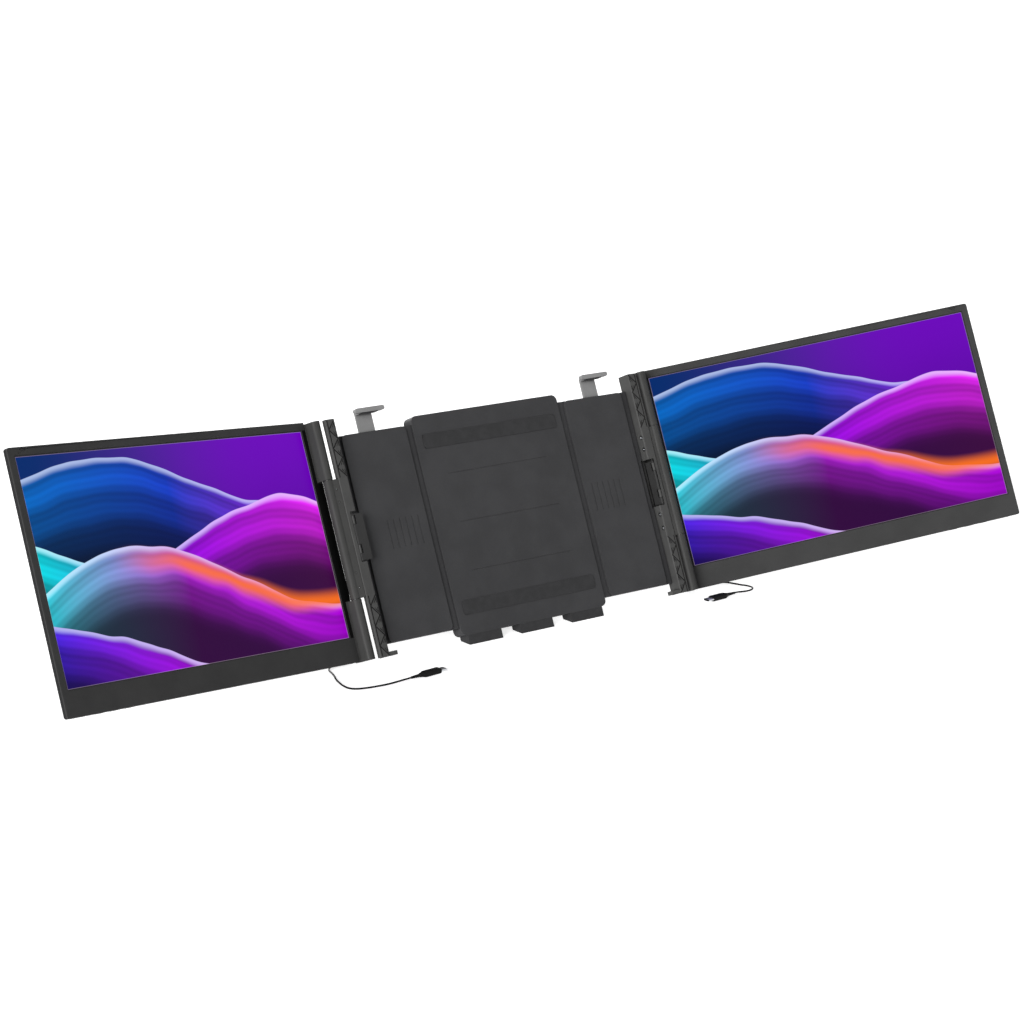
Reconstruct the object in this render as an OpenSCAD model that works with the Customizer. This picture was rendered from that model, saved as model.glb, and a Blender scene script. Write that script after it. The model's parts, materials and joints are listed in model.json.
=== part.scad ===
// Laptop screen extender: two side screens hinged on a telescoping frame that grips a laptop lid.
// X runs across the frame, +Y points to the back, +Z is up. The origin is the centre of the foot pads' face.
// Most modules draw in the frame's own upright axes and leaned() tips them back to the working stance.

/* [Stance] */
// Lean of the frame back from upright, degrees
lean = 23; // [15:1:30]
// Left wing's angle forward of the frame, degrees
open_left = 16.8; // [0:0.1:40]
// Right wing's angle forward of the frame, degrees
open_right = 21.9; // [0:0.1:40]
// Kickstand's angle away from its stowed place, degrees
kick_open = 40; // [34:1:55]

/* [Frame] */
// Opening between the columns, where the lid goes
lid_w = 354; // [340:1:370]
// Depth of that opening, column face to lid pads
lid_gap = 7.2; // [6.6:0.1:8]
// Width of a column's face
column_w = 11; // [10:0.5:12]
// Thickness of a column's outer edge
column_t = 5.5; // [5.2:0.1:6]
// Width of the centre housing
core_w = 176; // [150:2:180]
// Rise of the wings above the side columns
wing_rise = 2.4; // [1:0.1:3]
// Drop of the centre housing's top below the columns' tops
core_drop = 8; // [7:0.5:12]
// Depth of the sleeve that the arms slide in
sleeve_t = 10; // [9.8:0.1:11]
// Outer wall of the mouldings
wall = 2; // [1.6:0.1:2.4]
// Diameter of the guide rails
rail_d = 5; // [4:0.5:5]

/* [Wings] */
// Width of the lit area of a screen
screen_w = 354.2; // [340:0.2:356]
// Height of the lit area of a screen
screen_h = 199.2; // [192:0.2:200]
// Bezel beyond the screen's outer edge
bezel_side = 6.8; // [5:0.2:8]
// Bezel above the screen
bezel_top = 7.4; // [6:0.1:9]
// Bezel below the screen
bezel_bottom = 22.8; // [22:0.1:30]
// Hinge axis to the near edge of the lit area
hinge_to_screen = 10.8; // [10:0.1:12.6]
// Thickness of a wing
wing_t = 5; // [5:0.1:6]
// Extra depth of the electronics housing low on the wing's back
hump_t = 4; // [4:0.1:5]
// Height of the electronics housing
hump_h = 84; // [80:1:100]

/* [Hinges] */
// Hinge axis to the column's outer edge
hinge_out = 7.3; // [7.2:0.1:9]
// Depth of the left hinge axis behind the column face
axis_y_left = 7; // [6.5:0.1:7.2]
// Depth of the right hinge axis behind the column face, further forward so that wing closes last
axis_y_right = 2.2; // [1.8:0.1:2.2]
// Diameter of the hinge barrels
barrel_d = 10; // [9.8:0.1:10.6]
// Diameter of the hinge pins
pin_d = 5; // [4:0.5:5]
// Bottom of the frame's middle knuckle
knuckle_low = 58.4; // [56:0.2:60]
// Top of the frame's middle knuckle
knuckle_high = 171.6; // [170:0.2:174]

/* [Clips] */
// Reach of a side clip from its pin
clip_reach = 11; // [9:0.5:11]
// Length of a side clip
clip_len = 44.5; // [36:0.5:46]
// Length of a top clip's bar
top_clip_w = 33; // [28:1:40]
// Height of a top clip's bar
top_clip_h = 4.4; // [3.6:0.1:5]

/* [Cords] */
// Diameter of the video cords
cord_d = 1.8; // [1.6:0.1:2.4]

/* [Hidden] */
$fn = 48;
LEFT = -1;
RIGHT = 1;
eps = 0.5;            // overshoot of a cut past the face it opens
slide_gap = 0.3;      // play between sliding mouldings
run_gap = 0.05;       // radial play of a pin in its running bore
shell_dark = [0.17, 0.17, 0.18];
shell_grey = [0.24, 0.24, 0.25];
steel = [0.62, 0.63, 0.65];
soft_black = [0.06, 0.06, 0.07];

// ---- heights above the frame's bottom
wing_low = 1;
wing_high = wing_low + bezel_bottom + screen_h + bezel_top;
frame_h = wing_high - wing_rise;
core_bottom = 4;
core_top = frame_h - core_drop;
core_mid = (core_bottom + core_top) / 2;

// ---- frame, front to back
lid_half = lid_w / 2;
column_out = lid_half + column_w;
axis_x = column_out + hinge_out;
column_r = 1.4;
column_wall = 2.4;
column_back = 15.6;
plate_front = lid_gap + 0.8;
sleeve_front = plate_front + wall;
sleeve_back = sleeve_front + sleeve_t;
core_back = sleeve_back + wall;
core_half = core_w / 2;
sleeve_low = core_bottom + 7.6;
sleeve_high = core_top - 7.6;
rail_low = 45;
rail_high = core_top - 45;
boss_half = 6;
core_screw_in = 3.8;
core_screw_z = [core_bottom + core_screw_in, core_top - core_screw_in];
lid_pad_z = [core_bottom + 26, core_top - 26];

// ---- side clips
clip_pin_x = column_out - 6;
clip_pin_y = 0.8;
clip_low = 92;
clip_high = clip_low + clip_len;
clip_r = 1.4;
clip_pin_d = 1.2;
recess_low = clip_low - 1;
recess_high = clip_high + 2.5;
recess_out = clip_pin_x + 1.7;
recess_back = clip_reach + 1.5;
recess_wall = 1.2;
lug_len = 8;
lug_z = [clip_low + 7, clip_high - 1.5 - lug_len];

// ---- sliding arms
travel_in = 5;
arm_front = sleeve_front + slide_gap;
arm_back = sleeve_back - slide_gap;
arm_low = sleeve_low + slide_gap;
arm_high = sleeve_high - slide_gap;
arm_tip = boss_half + travel_in + 1;
cover_back = arm_front + 1.8;
tray_floor = arm_back - 1.8;
rail_y = (cover_back + arm_back) / 2;
rail_block_end = core_half + travel_in + 3;
raised_in = core_half + travel_in + 3;
raised_out = lid_half - 8;
bush_d = rail_d + 1.4;
bush_len = 12;
frame_screw_y = 13.5;
frame_screw_z = [30, clip_low - 20, clip_high + 15.5, core_top - 24];
block_screw_y = 2.9;
block_screw_z = [knuckle_low + 9.6, knuckle_low + 23.6, knuckle_high - 21.6, knuckle_high - 9.6];

// ---- top clips
top_clip_x = lid_half - 41.4;
top_clip_z = frame_h + 1.8;
top_clip_t = 5;
stem_w = 18;
stem_front = cover_back + 1.3;
stem_t = 2.2;
stem_low = core_top - 70;

// ---- stance
foot_t = 3.5;
foot_w = 40;
foot_x = [-62, 0, 62];
floor_z = core_bottom * cos(lean) - core_back * sin(lean) - foot_t;
stand_z = -floor_z;
stand_y = (plate_front + core_back) / 2 * cos(lean) + core_bottom * sin(lean);
kick_y = core_back + 5.8;
kick_z = core_top - 70;
kick_w = 104;
kick_lug_w = 9;
kick_foot_r = 3;
kick_pin_d = 4;
leg_near = -3.8;
leg_far = -0.8;
leg_mid = (leg_near + leg_far) / 2;
kick_tilt = kick_open - lean;
kick_height = kick_z * cos(lean) - kick_y * sin(lean) - floor_z;
kick_len = (kick_height - kick_foot_r + leg_mid * sin(kick_tilt)) / cos(kick_tilt);

// ---- wings, in wing axes: u outward from the hinge axis, w back from the bezel's face, z up
wing_y = 15;
barrel_r = barrel_d / 2;
knuckle_gap = 0.7;
wing_in = 2;
lip_in = -1.6;
wing_end = hinge_to_screen + screen_w + bezel_side;
screen_low = wing_low + bezel_bottom;
screen_high = screen_low + screen_h;
corner_r = 2.5;
leaf_out = 5.8;
leaf_low = wing_low - 0.6;
leaf_high = wing_high - 1.8;
skin_front = 1;
bezel_t = 1.8;
panel_t = 1.6;
backlight_t = 1.3;
panel_in = leaf_out + 1.2;
panel_out = wing_end - 3.2;
panel_low = screen_low - 3.5;
panel_high = wing_high - 4;
skin_back = wing_t - 0.9;
hump_back = wing_t + hump_t;
hump_wall = 1.2;
hump_floor = hump_back - hump_wall;
hump_out = wing_end - 9;
socket_l = 7.1;
socket_w = (skin_back + hump_floor) / 2;
side_port_z = 72;
low_port_u = [43, 62];
board_t = 0.8;
board_front = hump_back - 2.8;
board_in = 15.5;
board_out = wing_end - 100.4;
board_low = panel_low - 6;
ribbon_w = 26;
ribbon_front = skin_front + panel_t + 0.3;
ribbon_u = [96, board_out - 64];
screw_z = wing_low + 8;
screw_in = 24;
screw_out = wing_end - 15.4;
screw_u = [for (i = [0:3]) screw_in + i * (screw_out - screw_in) / 3];
button_pitch = 17;
button_u = [for (i = [0:2]) wing_end - 74.4 + i * button_pitch];

// ---- cords: heights are above the floor, from the side plug to the plug on the desk
route_left = [
    [-196.5, 18.5, 33], [-197.2, 12.8, 19.5], [-199, 9.2, 11], [-202.3, 7.8, 6], [-207.6, 8, 2.8],
    [-214.8, 9.2, 1.4], [-223, 9.3, 1.2], [-230.5, 6, 1.2], [-235, 0, 1.2], [-237.5, -8, 1.2],
    [-241, -18, 1.2], [-245, -27, 1.2], [-248, -37, 1.2], [-250, -47, 1.2], [-249.5, -55.5, 1.2],
    [-245, -61, 1.2], [-237, -64, 1.2], [-226.5, -66, 1.3], [-215.5, -67.8, 1.7], [-205.5, -68.8, 2.5]
];
route_right = [
    [199.5, 18, 33.5], [199.5, 12, 19.5], [200.6, 9.2, 11], [203.4, 8.6, 5.9], [208.4, 9.5, 2.6],
    [215.5, 11.5, 1.2], [227, 12.5, 1.2], [239, 12.5, 1.2], [249, 10.5, 1.2], [256.5, 5.5, 1.2],
    [259.5, -1.5, 1.2], [262.5, -10.5, 1.2], [265.5, -17.5, 1.2], [265, -24.5, 1.2], [259.5, -29.6, 1.2],
    [252, -31.5, 1.4], [243, -32.5, 2.3]
];
desk_plug_left = [-190.5, -68.3, 3.1];
desk_plug_right = [233, -33.5, 3.1];
desk_turn_left = 6;
desk_turn_right = 184;
strain_len = 10;
strain_d = 3.6;
plug_len = 24;
plug_w = 8.6;
plug_h = 5;
tongue_len = 6.6;
side_plug_u = [-9, wing_in - 0.1];
side_plug_drop = 7;

function axis_y(s) = s < 0 ? axis_y_left : axis_y_right;
function open_at(s) = s < 0 ? open_left : open_right;
function front_v(s) = wing_y - axis_y(s);
function clip_turn(s) = s < 0 ? 0 : 90;

// ======== placing ========
module leaned() translate([0, -stand_y, stand_z]) rotate([-lean, 0, 0]) children();
module on_side(s) mirror([s < 0 ? 1 : 0, 0, 0]) children();
module on_arm(s) leaned() on_side(s) children();
module at_hinge(s) on_arm(s) translate([axis_x, axis_y(s), 0]) rotate([0, 0, -open_at(s)]) children();
module at_wing(s) at_hinge(s) translate([0, front_v(s), 0]) children();

// ======== building blocks ========
// Block between two opposite corners
module block(a, b) translate(a) cube([b[0] - a[0], b[1] - a[1], b[2] - a[2]]);

// Flat rectangle with round corners
module round_rect(a, b, r) {
    translate([a[0] + r, a[1]]) square([b[0] - a[0] - 2 * r, b[1] - a[1]]);
    translate([a[0], a[1] + r]) square([b[0] - a[0], b[1] - a[1] - 2 * r]);
    for (x = [a[0] + r, b[0] - r], y = [a[1] + r, b[1] - r]) translate([x, y]) circle(r);
}

// Upright plate with round corners, thick from y0 to y1; a and b are its corners in X and Z
module upright_plate(a, b, r, y0, y1)
    translate([0, y1, 0]) rotate([90, 0, 0]) linear_extrude(y1 - y0) round_rect(a, b, r);

module rod_x(d, x0, x1, y, z) translate([x0, y, z]) rotate([0, 90, 0]) cylinder(d = d, h = x1 - x0);
module rod_y(d, x, y0, y1, z) translate([x, y0, z]) rotate([-90, 0, 0]) cylinder(d = d, h = y1 - y0);
module rod_z(d, x, y, z0, z1) translate([x, y, z0]) cylinder(d = d, h = z1 - z0);

// Pan-head screw along +Y with its head's top at y1
module screw_y(d, head_d, head_h, x, y0, y1, z) {
    rod_y(d, x, y0, y1 - head_h, z);
    difference() {
        rod_y(head_d, x, y1 - head_h, y1, z);
        block([x - head_d / 3, y1 - 0.6, z - 0.35], [x + head_d / 3, y1 + eps, z + 0.35]);
        block([x - 0.35, y1 - 0.6, z - head_d / 3], [x + 0.35, y1 + eps, z + head_d / 3]);
    }
}

// Screw along X with its head's top at x0 and its tip at x1
module screw_x(d, head_d, head_h, x0, x1, y, z) {
    turn = x1 > x0 ? 1 : -1;
    rod_x(d, min(x0 + turn * head_h, x1), max(x0 + turn * head_h, x1), y, z);
    difference() {
        rod_x(head_d, min(x0, x0 + turn * head_h), max(x0, x0 + turn * head_h), y, z);
        block([x0 - 0.6, y - head_d / 3, z - 0.35], [x0 + 0.6, y + head_d / 3, z + 0.35]);
    }
}

// ======== centre housing ========
core_screws = [for (x = [-70, 0, 70], z = core_screw_z) [x, z]];

module centre_back_shell() leaned() color(shell_dark) difference() {
    union() {
        upright_plate([-core_half, core_bottom], [core_half, core_top], 6, sleeve_front, core_back);
        for (x = [-1, 1]) kickstand_lug(x * (kick_w / 2 - kick_lug_w * 1.5 - 0.4));
    }
    difference() {
        block([-core_half - eps, sleeve_front - eps, sleeve_low], [core_half + eps, sleeve_back, sleeve_high]);
        block([-boss_half, sleeve_front - 2 * eps, sleeve_low - eps], [boss_half, core_back, sleeve_high + eps]);
    }
    for (z = [rail_low, rail_high]) rod_x(rail_d, -core_half, core_half, rail_y, z);
    for (c = core_screws) {
        rod_y(3, c[0], sleeve_front - eps, core_back, c[1]);
        rod_y(5.8, c[0], core_back - 2.4, core_back + eps, c[1]);
    }
    rod_x(kick_pin_d, -kick_w / 2, kick_w / 2, kick_y, kick_z);
    for (i = [0:9])
        upright_plate([-28 + 6 * i, core_top - 32], [-26 + 6 * i, core_top - 14], 0.9, core_back - 0.8, core_back + eps);
}

// Lug that carries the kickstand's pin
module kickstand_lug(x) {
    rod_x(9, x - kick_lug_w / 2, x + kick_lug_w / 2, kick_y, kick_z);
    block([x - kick_lug_w / 2, core_back - 1, kick_z - 4.5], [x + kick_lug_w / 2, kick_y, kick_z + 4.5]);
}

module centre_front_plate() leaned() color(shell_dark) difference() {
    upright_plate([-core_half, core_bottom], [core_half, core_top], 6, plate_front, sleeve_front);
    for (c = core_screws) rod_y(3, c[0], plate_front + 0.8, sleeve_front + eps, c[1]);
    for (z = [core_mid - 48, core_mid, core_mid + 48])
        upright_plate([-60, z - 0.6], [60, z + 0.6], 0.5, plate_front - eps, plate_front + 0.4);
}

// Soft strips that the laptop lid rests on
module lid_pads() leaned() color(soft_black) for (z = lid_pad_z)
    upright_plate([-core_half + 8, z - 7], [core_half - 8, z + 7], 3, lid_gap, plate_front);

module centre_screws() leaned() color(steel) for (c = core_screws)
    screw_y(3, 5.6, 1.8, c[0], plate_front + 1, core_back - 0.4, c[1]);

module guide_rails() leaned() color(steel) for (z = [rail_low, rail_high])
    rod_x(rail_d, -core_half + 3, core_half - 3, rail_y, z);

module kickstand_pin() leaned() color(steel) rod_x(kick_pin_d, -kick_w / 2 + 2, kick_w / 2 - 2, kick_y, kick_z);

// Wedges that turn the leaning bottom edge into a level foot
module foot_pads() leaned() color(soft_black) for (x = foot_x) translate([x - foot_w / 2, 0, 0])
    rotate([90, 0, 90]) linear_extrude(foot_w) polygon([
        [plate_front, core_bottom], [core_back, core_bottom],
        [core_back, (floor_z + core_back * sin(lean)) / cos(lean)],
        [plate_front, (floor_z + plate_front * sin(lean)) / cos(lean)]
    ]);

// ======== kickstand ========
module at_kickstand() leaned() translate([0, kick_y, kick_z]) rotate([kick_open, 0, 0]) children();

module kickstand_leg() at_kickstand() color(shell_grey) difference() {
    union() {
        upright_plate([-kick_w / 2, -kick_len + 1], [kick_w / 2, -3], 8, leg_near, leg_far);
        for (x = [-kick_w / 2 + kick_lug_w / 2, kick_w / 2 - kick_lug_w / 2]) leg_knuckle(x);
        upright_plate([-18, -kick_len + 12], [18, -kick_len + 30], 6, leg_far - 0.1, leg_far + 0.6);
    }
    rod_x(kick_pin_d + 2 * run_gap, -kick_w / 2 - eps, kick_w / 2 + eps, 0, 0);
    block([-kick_w / 2 + kick_lug_w + 0.3, -6, -6.4], [kick_w / 2 - kick_lug_w - 0.3, 6, 6]);
    rod_x(2 * kick_foot_r, -kick_w / 2 + 10, kick_w / 2 - 10, leg_mid, -kick_len);
    upright_plate([-30, -kick_len + 48], [30, -34], 8, leg_near - 0.1, leg_near + 0.8);
}

module leg_knuckle(x) {
    rod_x(8.4, x - kick_lug_w / 2, x + kick_lug_w / 2, 0, 0);
    block([x - kick_lug_w / 2, leg_near, -12], [x + kick_lug_w / 2, leg_far, 0]);
}

module kickstand_foot() at_kickstand() color(soft_black)
    rod_x(2 * kick_foot_r, -kick_w / 2 + 10, kick_w / 2 - 10, leg_mid, -kick_len);

// ======== sliding arms ========
module arm_frame(s) on_arm(s) color(shell_dark) difference() {
    union() {
        difference() {
            block([arm_tip, cover_back, arm_low], [lid_half, arm_back, arm_high]);
            block([arm_tip + 2, cover_back - eps, arm_low + 2], [lid_half - 2.4, tray_floor, arm_high - 2]);
        }
        for (z = [rail_low, rail_high])
            block([arm_tip, cover_back, z - 5.5], [rail_block_end, arm_back, z + 5.5]);
        for (x = [top_clip_x - stem_w / 2 - 2.4, top_clip_x + stem_w / 2 + slide_gap])
            block([x, cover_back, stem_low - 20], [x + 2.1, arm_back, arm_high]);
        for (z = frame_screw_z) block([lid_half - 10, cover_back, z - 4], [lid_half, arm_back, z + 4]);
        for (z = [clip_low - 12, clip_high + 4])
            block([core_half + 2, cover_back, z - 1], [lid_half - 2, arm_back, z + 1]);
    }
    for (z = [rail_low, rail_high]) {
        rod_x(rail_d + 2 * slide_gap, arm_tip - eps, rail_block_end - 2, rail_y, z);
        rod_x(bush_d, arm_tip - eps, arm_tip + bush_len, rail_y, z);
    }
    block([top_clip_x - stem_w / 2 - slide_gap, stem_front - slide_gap, arm_high - 3],
          [top_clip_x + stem_w / 2 + slide_gap, stem_front + stem_t + slide_gap, arm_high + eps]);
    for (z = frame_screw_z) rod_x(2.5, lid_half - 8, lid_half + eps, frame_screw_y, z);
}

module arm_cover(s) on_arm(s) color(shell_dark) difference() {
    union() {
        block([arm_tip, arm_front, arm_low], [lid_half, cover_back, arm_high]);
        upright_plate([raised_in, arm_low], [raised_out, arm_high], 5, plate_front, arm_front + 0.2);
    }
    block([lid_half - 1.6, arm_front - eps, recess_low - 1], [lid_half + eps, cover_back + eps, recess_high + 1]);
    for (i = [0:5]) {
        upright_plate([raised_in + 9 + 7 * i, core_mid - 14], [raised_in + 10.4 + 7 * i, core_mid + 14], 0.6,
                      plate_front - eps, plate_front + 0.4);
    }
}

// Plain bushes that ride on the guide rails
module rail_bushes(s) on_arm(s) color([0.85, 0.84, 0.80]) for (z = [rail_low, rail_high]) difference() {
    rod_x(bush_d, arm_tip, arm_tip + bush_len, rail_y, z);
    rod_x(rail_d + 2 * run_gap, arm_tip - eps, arm_tip + bush_len + eps, rail_y, z);
}

// Straight engraved line on the column's face between two points in X and Z
module groove(p, q, w, depth) {
    d = q - p;
    translate([p[0], 0, p[1]]) rotate([0, -atan2(d[1], d[0]), 0])
        translate([-w / 2, -eps, -w / 2]) cube([norm(d) + w, depth + eps, w]);
}

// Lattice of triangles engraved between two heights
module lattice(z0, z1) {
    bays = 6;
    step = (z1 - z0) / bays;
    near = lid_half + 1;
    far = lid_half + column_w - 2.4;
    groove([far, z0], [far, z1], 0.7, 0.6);
    for (i = [0:bays - 1]) {
        z = z0 + i * step;
        a = i % 2 == 0 ? near : far;
        b = i % 2 == 0 ? far : near;
        groove([a, z], [b, z + step], 0.8, 0.6);
        groove([near + 0.6, z + step / 2 - 2.2], [near + 0.6, z + step / 2 + 2.2], 0.5, 0.3);
        groove([near + 0.6 + (i % 2 == 0 ? 0 : 2.4), z + step / 2 - 2.2],
               [near + 0.6 + (i % 2 == 0 ? 2.4 : 0), z + step / 2 + 2.2], 0.5, 0.3);
    }
}

module column(s) on_arm(s) color(shell_dark) difference() {
    union() {
        difference() {
            union() {
                linear_extrude(frame_h) {
                    round_rect([lid_half, 0], [column_out, column_t], column_r);
                    translate([lid_half, column_r]) square([column_wall, column_back - column_r]);
                }
                block([lid_half - 9, 0.8, 0], [lid_half + 2, 10, 4]);
            }
            block([lid_half - eps, -eps, recess_low], [recess_out, recess_back, recess_high]);
        }
        block([recess_out, column_t - 1, recess_low], [recess_out + recess_wall, recess_back + recess_wall, recess_high]);
        block([lid_half + 1, recess_back, recess_low], [recess_out + eps, recess_back + recess_wall, recess_high]);
        for (z = lug_z) {
            rod_z(2 * clip_r - 0.1, clip_pin_x, clip_pin_y, z, z + lug_len);
            block([clip_pin_x, clip_pin_y - 0.6, z], [recess_out + eps, clip_pin_y + 1.3, z + lug_len]);
        }
    }
    rod_z(clip_pin_d + 2 * run_gap, clip_pin_x, clip_pin_y, recess_low - 3, recess_high + 3);
    lattice(1, knuckle_low);
    lattice(knuckle_high + 1, frame_h - 1);
    for (z = block_screw_z) {
        rod_x(2.5, lid_half, column_out + eps, block_screw_y, z);
        rod_x(4.2, lid_half - eps, lid_half + 2, block_screw_y, z);
    }
    for (z = frame_screw_z) rod_x(2.5, lid_half - eps, lid_half + column_wall + eps, frame_screw_y, z);
}

// Middle knuckle and the web that ties it to the column
module hinge_block(s) on_arm(s) color(shell_grey) difference() {
    union() {
        rod_z(barrel_d, axis_x, axis_y(s), knuckle_low, knuckle_high);
        translate([0, 0, knuckle_low]) linear_extrude(knuckle_high - knuckle_low) polygon([
            [column_out, 0.6], [column_out, column_t - 0.2],
            [axis_x, axis_y(s) + 4.2], [axis_x, axis_y(s) - 4.2]
        ]);
    }
    rod_z(pin_d, axis_x, axis_y(s), knuckle_low - eps, knuckle_low + 22);
    rod_z(pin_d, axis_x, axis_y(s), knuckle_high - 22, knuckle_high + eps);
    for (z = block_screw_z) rod_x(2.5, column_out - eps, column_out + 4, block_screw_y, z);
}

module hinge_pins(s) on_arm(s) color(steel) {
    rod_z(pin_d, axis_x, axis_y(s), leaf_low + 3, knuckle_low + 21);
    rod_z(pin_d, axis_x, axis_y(s), knuckle_high - 21, leaf_high - 3);
}

module hinge_washers(s) on_arm(s) color(steel) for (z = [knuckle_low - 0.6, knuckle_high]) difference() {
    rod_z(9, axis_x, axis_y(s), z, z + 0.6);
    rod_z(pin_d, axis_x, axis_y(s), z - eps, z + 0.6 + eps);
}

module column_screws(s) on_arm(s) color(steel) {
    for (z = block_screw_z) screw_x(2.5, 4.2, 1.6, lid_half + 0.4, column_out + 3.6, block_screw_y, z);
    for (z = frame_screw_z)
        screw_x(2.5, 3.8, 1.4, lid_half + column_wall + 1.4, lid_half - 7, frame_screw_y, z);
}

module side_clip(s) on_arm(s) translate([clip_pin_x, clip_pin_y, 0]) rotate([0, 0, -clip_turn(s)])
    color(shell_grey) {
        difference() {
            union() {
                rod_z(2 * clip_r, 0, 0, clip_low, clip_low + clip_len);
                block([-clip_reach + 0.9, -clip_r, clip_low], [0, 0.4, clip_low + clip_len]);
                rod_z(1.8, -clip_reach + 0.9, -clip_r + 0.9, clip_low, clip_low + clip_len);
            }
            for (z = lug_z) block([-2.2, -3, z - 0.3], [3, 3, z + lug_len + 0.3]);
        }
        rod_z(clip_pin_d, 0, 0, recess_low - 2.4, recess_high + 2.4);
    }

module top_clip(s) on_arm(s) color([0.36, 0.36, 0.37]) {
    upright_plate([top_clip_x - top_clip_w / 2, top_clip_z], [top_clip_x + top_clip_w / 2, top_clip_z + top_clip_h],
                  top_clip_h / 2 - 0.1, 0, top_clip_t);
    block([top_clip_x - stem_w / 2, top_clip_t - 1, top_clip_z],
          [top_clip_x + stem_w / 2, stem_front + stem_t, top_clip_z + 2.6]);
    block([top_clip_x - stem_w / 2, stem_front, stem_low], [top_clip_x + stem_w / 2, stem_front + stem_t, top_clip_z + 1]);
}

module top_clip_pad(s) on_arm(s) color(soft_black)
    block([top_clip_x - stem_w / 2, 0.6, top_clip_z - 0.8], [top_clip_x + stem_w / 2, 8, top_clip_z]);

// ======== wings ========
// Cuts the wing's inner edge back where the hinge leaves sit
module leaf_notches() for (z = [[-eps, knuckle_low], [knuckle_high, frame_h + 9]])
    block([-1, -1, z[0]], [leaf_out, hump_back + 1, z[1]]);

module wing_outline(w0, w1) upright_plate([wing_in, wing_low], [wing_end, wing_high], corner_r, w0, w1);

module front_bezel(s) at_wing(s) color(shell_dark) {
    difference() {
        wing_outline(0, bezel_t);
        block([hinge_to_screen, -eps, screen_low], [hinge_to_screen + screen_w, bezel_t + eps, screen_high]);
        block([panel_in - 0.2, skin_front, panel_low - 0.2], [panel_out + 0.2, bezel_t + eps, panel_high + 0.2]);
        leaf_notches();
        for (u = [wing_end - 14, wing_end - 19.2]) rod_y(0.9, u, -eps, 0.3, wing_high - 2.4);
    }
    block([lip_in, 0, knuckle_low + 0.3], [wing_in + 1, bezel_t, knuckle_high - 0.3]);
    for (u = screw_u) difference() {
        rod_y(4.4, u, bezel_t - 0.2, 5.4, screw_z);
        rod_y(2, u, bezel_t, 6, screw_z);
    }
}

module display_panel(s) at_wing(s) color([0.10, 0.06, 0.32])
    block([panel_in, skin_front, panel_low], [panel_out, skin_front + panel_t, panel_high]);

module backlight(s) at_wing(s) color([0.80, 0.81, 0.83])
    block([panel_in, skin_front + panel_t, panel_low], [panel_out, skin_front + panel_t + backlight_t, panel_high]);

// Housing behind the lower part of the wing; inset shrinks it to its inner space
module hump_prism(inset) translate([wing_in + inset, 0, 0]) rotate([90, 0, 90])
    linear_extrude(hump_out - wing_in - 2 * inset) polygon([
        [wing_t - 2, wing_low + inset], [hump_back - inset, wing_low + inset],
        [hump_back - inset, wing_low + hump_h - 5 - inset], [wing_t - 2, wing_low + hump_h + 2.5 - inset]
    ]);

module rear_cover(s) at_wing(s) color(shell_grey) difference() {
    union() {
        difference() {
            union() {
                wing_outline(bezel_t, wing_t);
                intersection() {
                    hump_prism(0);
                    wing_outline(0, hump_back + 1);
                }
            }
            block([panel_in - 0.1, bezel_t - eps, wing_low + 1.5], [wing_end - 1.5, skin_back, wing_high - 1.5]);
            intersection() {
                hump_prism(hump_wall);
                union() {
                    block([panel_in - 0.1, 0, 0], [wing_end, hump_back, frame_h]);
                    block([0, skin_back - 0.3, knuckle_low + hump_wall], [wing_end, hump_back, frame_h]);
                }
            }
        }
        for (u = [22, 110, board_out - 80, board_out - 10]) rod_y(4, u, board_front + board_t, hump_floor + 0.2, 50);
        for (u = screw_u) rod_y(5.4, u, 5.5, hump_floor + 0.2, screw_z);
    }
    leaf_notches();
    for (u = screw_u) {
        rod_y(2.2, u, skin_back, hump_back, screw_z);
        rod_y(4.2, u, hump_back - 1.7, hump_back + eps, screw_z);
    }
    for (i = [0:17]) let(u = wing_end / 2 - 30 + 5 * i)
        upright_plate([u, 30], [u + 1.8, 46], 0.8, hump_floor - eps, hump_back + eps);
    block([wing_in - eps, socket_w - 1.7, side_port_z - 4.6], [wing_in + 2, socket_w + 1.7, side_port_z + 4.6]);
    block([low_port_u[0] - 4.6, socket_w - 1.7, wing_low - eps], [low_port_u[0] + 4.6, socket_w + 1.7, wing_low + 2]);
    block([low_port_u[1] - 6, socket_w - 1.7, wing_low - eps], [low_port_u[1] + 6, socket_w + 1.7, wing_low + 2]);
    for (u = button_u) block([u - 4.7, socket_w - 1.5, wing_low - eps], [u + 4.7, socket_w + 1.5, wing_low + 2]);
}

// Hollow metal socket with its mouth at the origin, opening towards -X; l long, a across Z, t across Y
module socket(l, a, t) difference() {
    block([0, -t / 2, -a / 2], [l, t / 2, a / 2]);
    block([-eps, -t / 2 + 0.3, -a / 2 + 0.3], [l - 1.2, t / 2 - 0.3, a / 2 - 0.3]);
}

module port_sockets(s) at_wing(s) color(steel) {
    translate([wing_in + 0.4, socket_w, side_port_z]) socket(socket_l, 9, 3.2);
    translate([low_port_u[0], socket_w, wing_low + 0.4]) rotate([0, -90, 0]) socket(socket_l, 9, 3.2);
    translate([low_port_u[1], socket_w, wing_low + 0.4]) rotate([0, -90, 0]) socket(socket_l, 11.6, 3.2);
}

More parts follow.
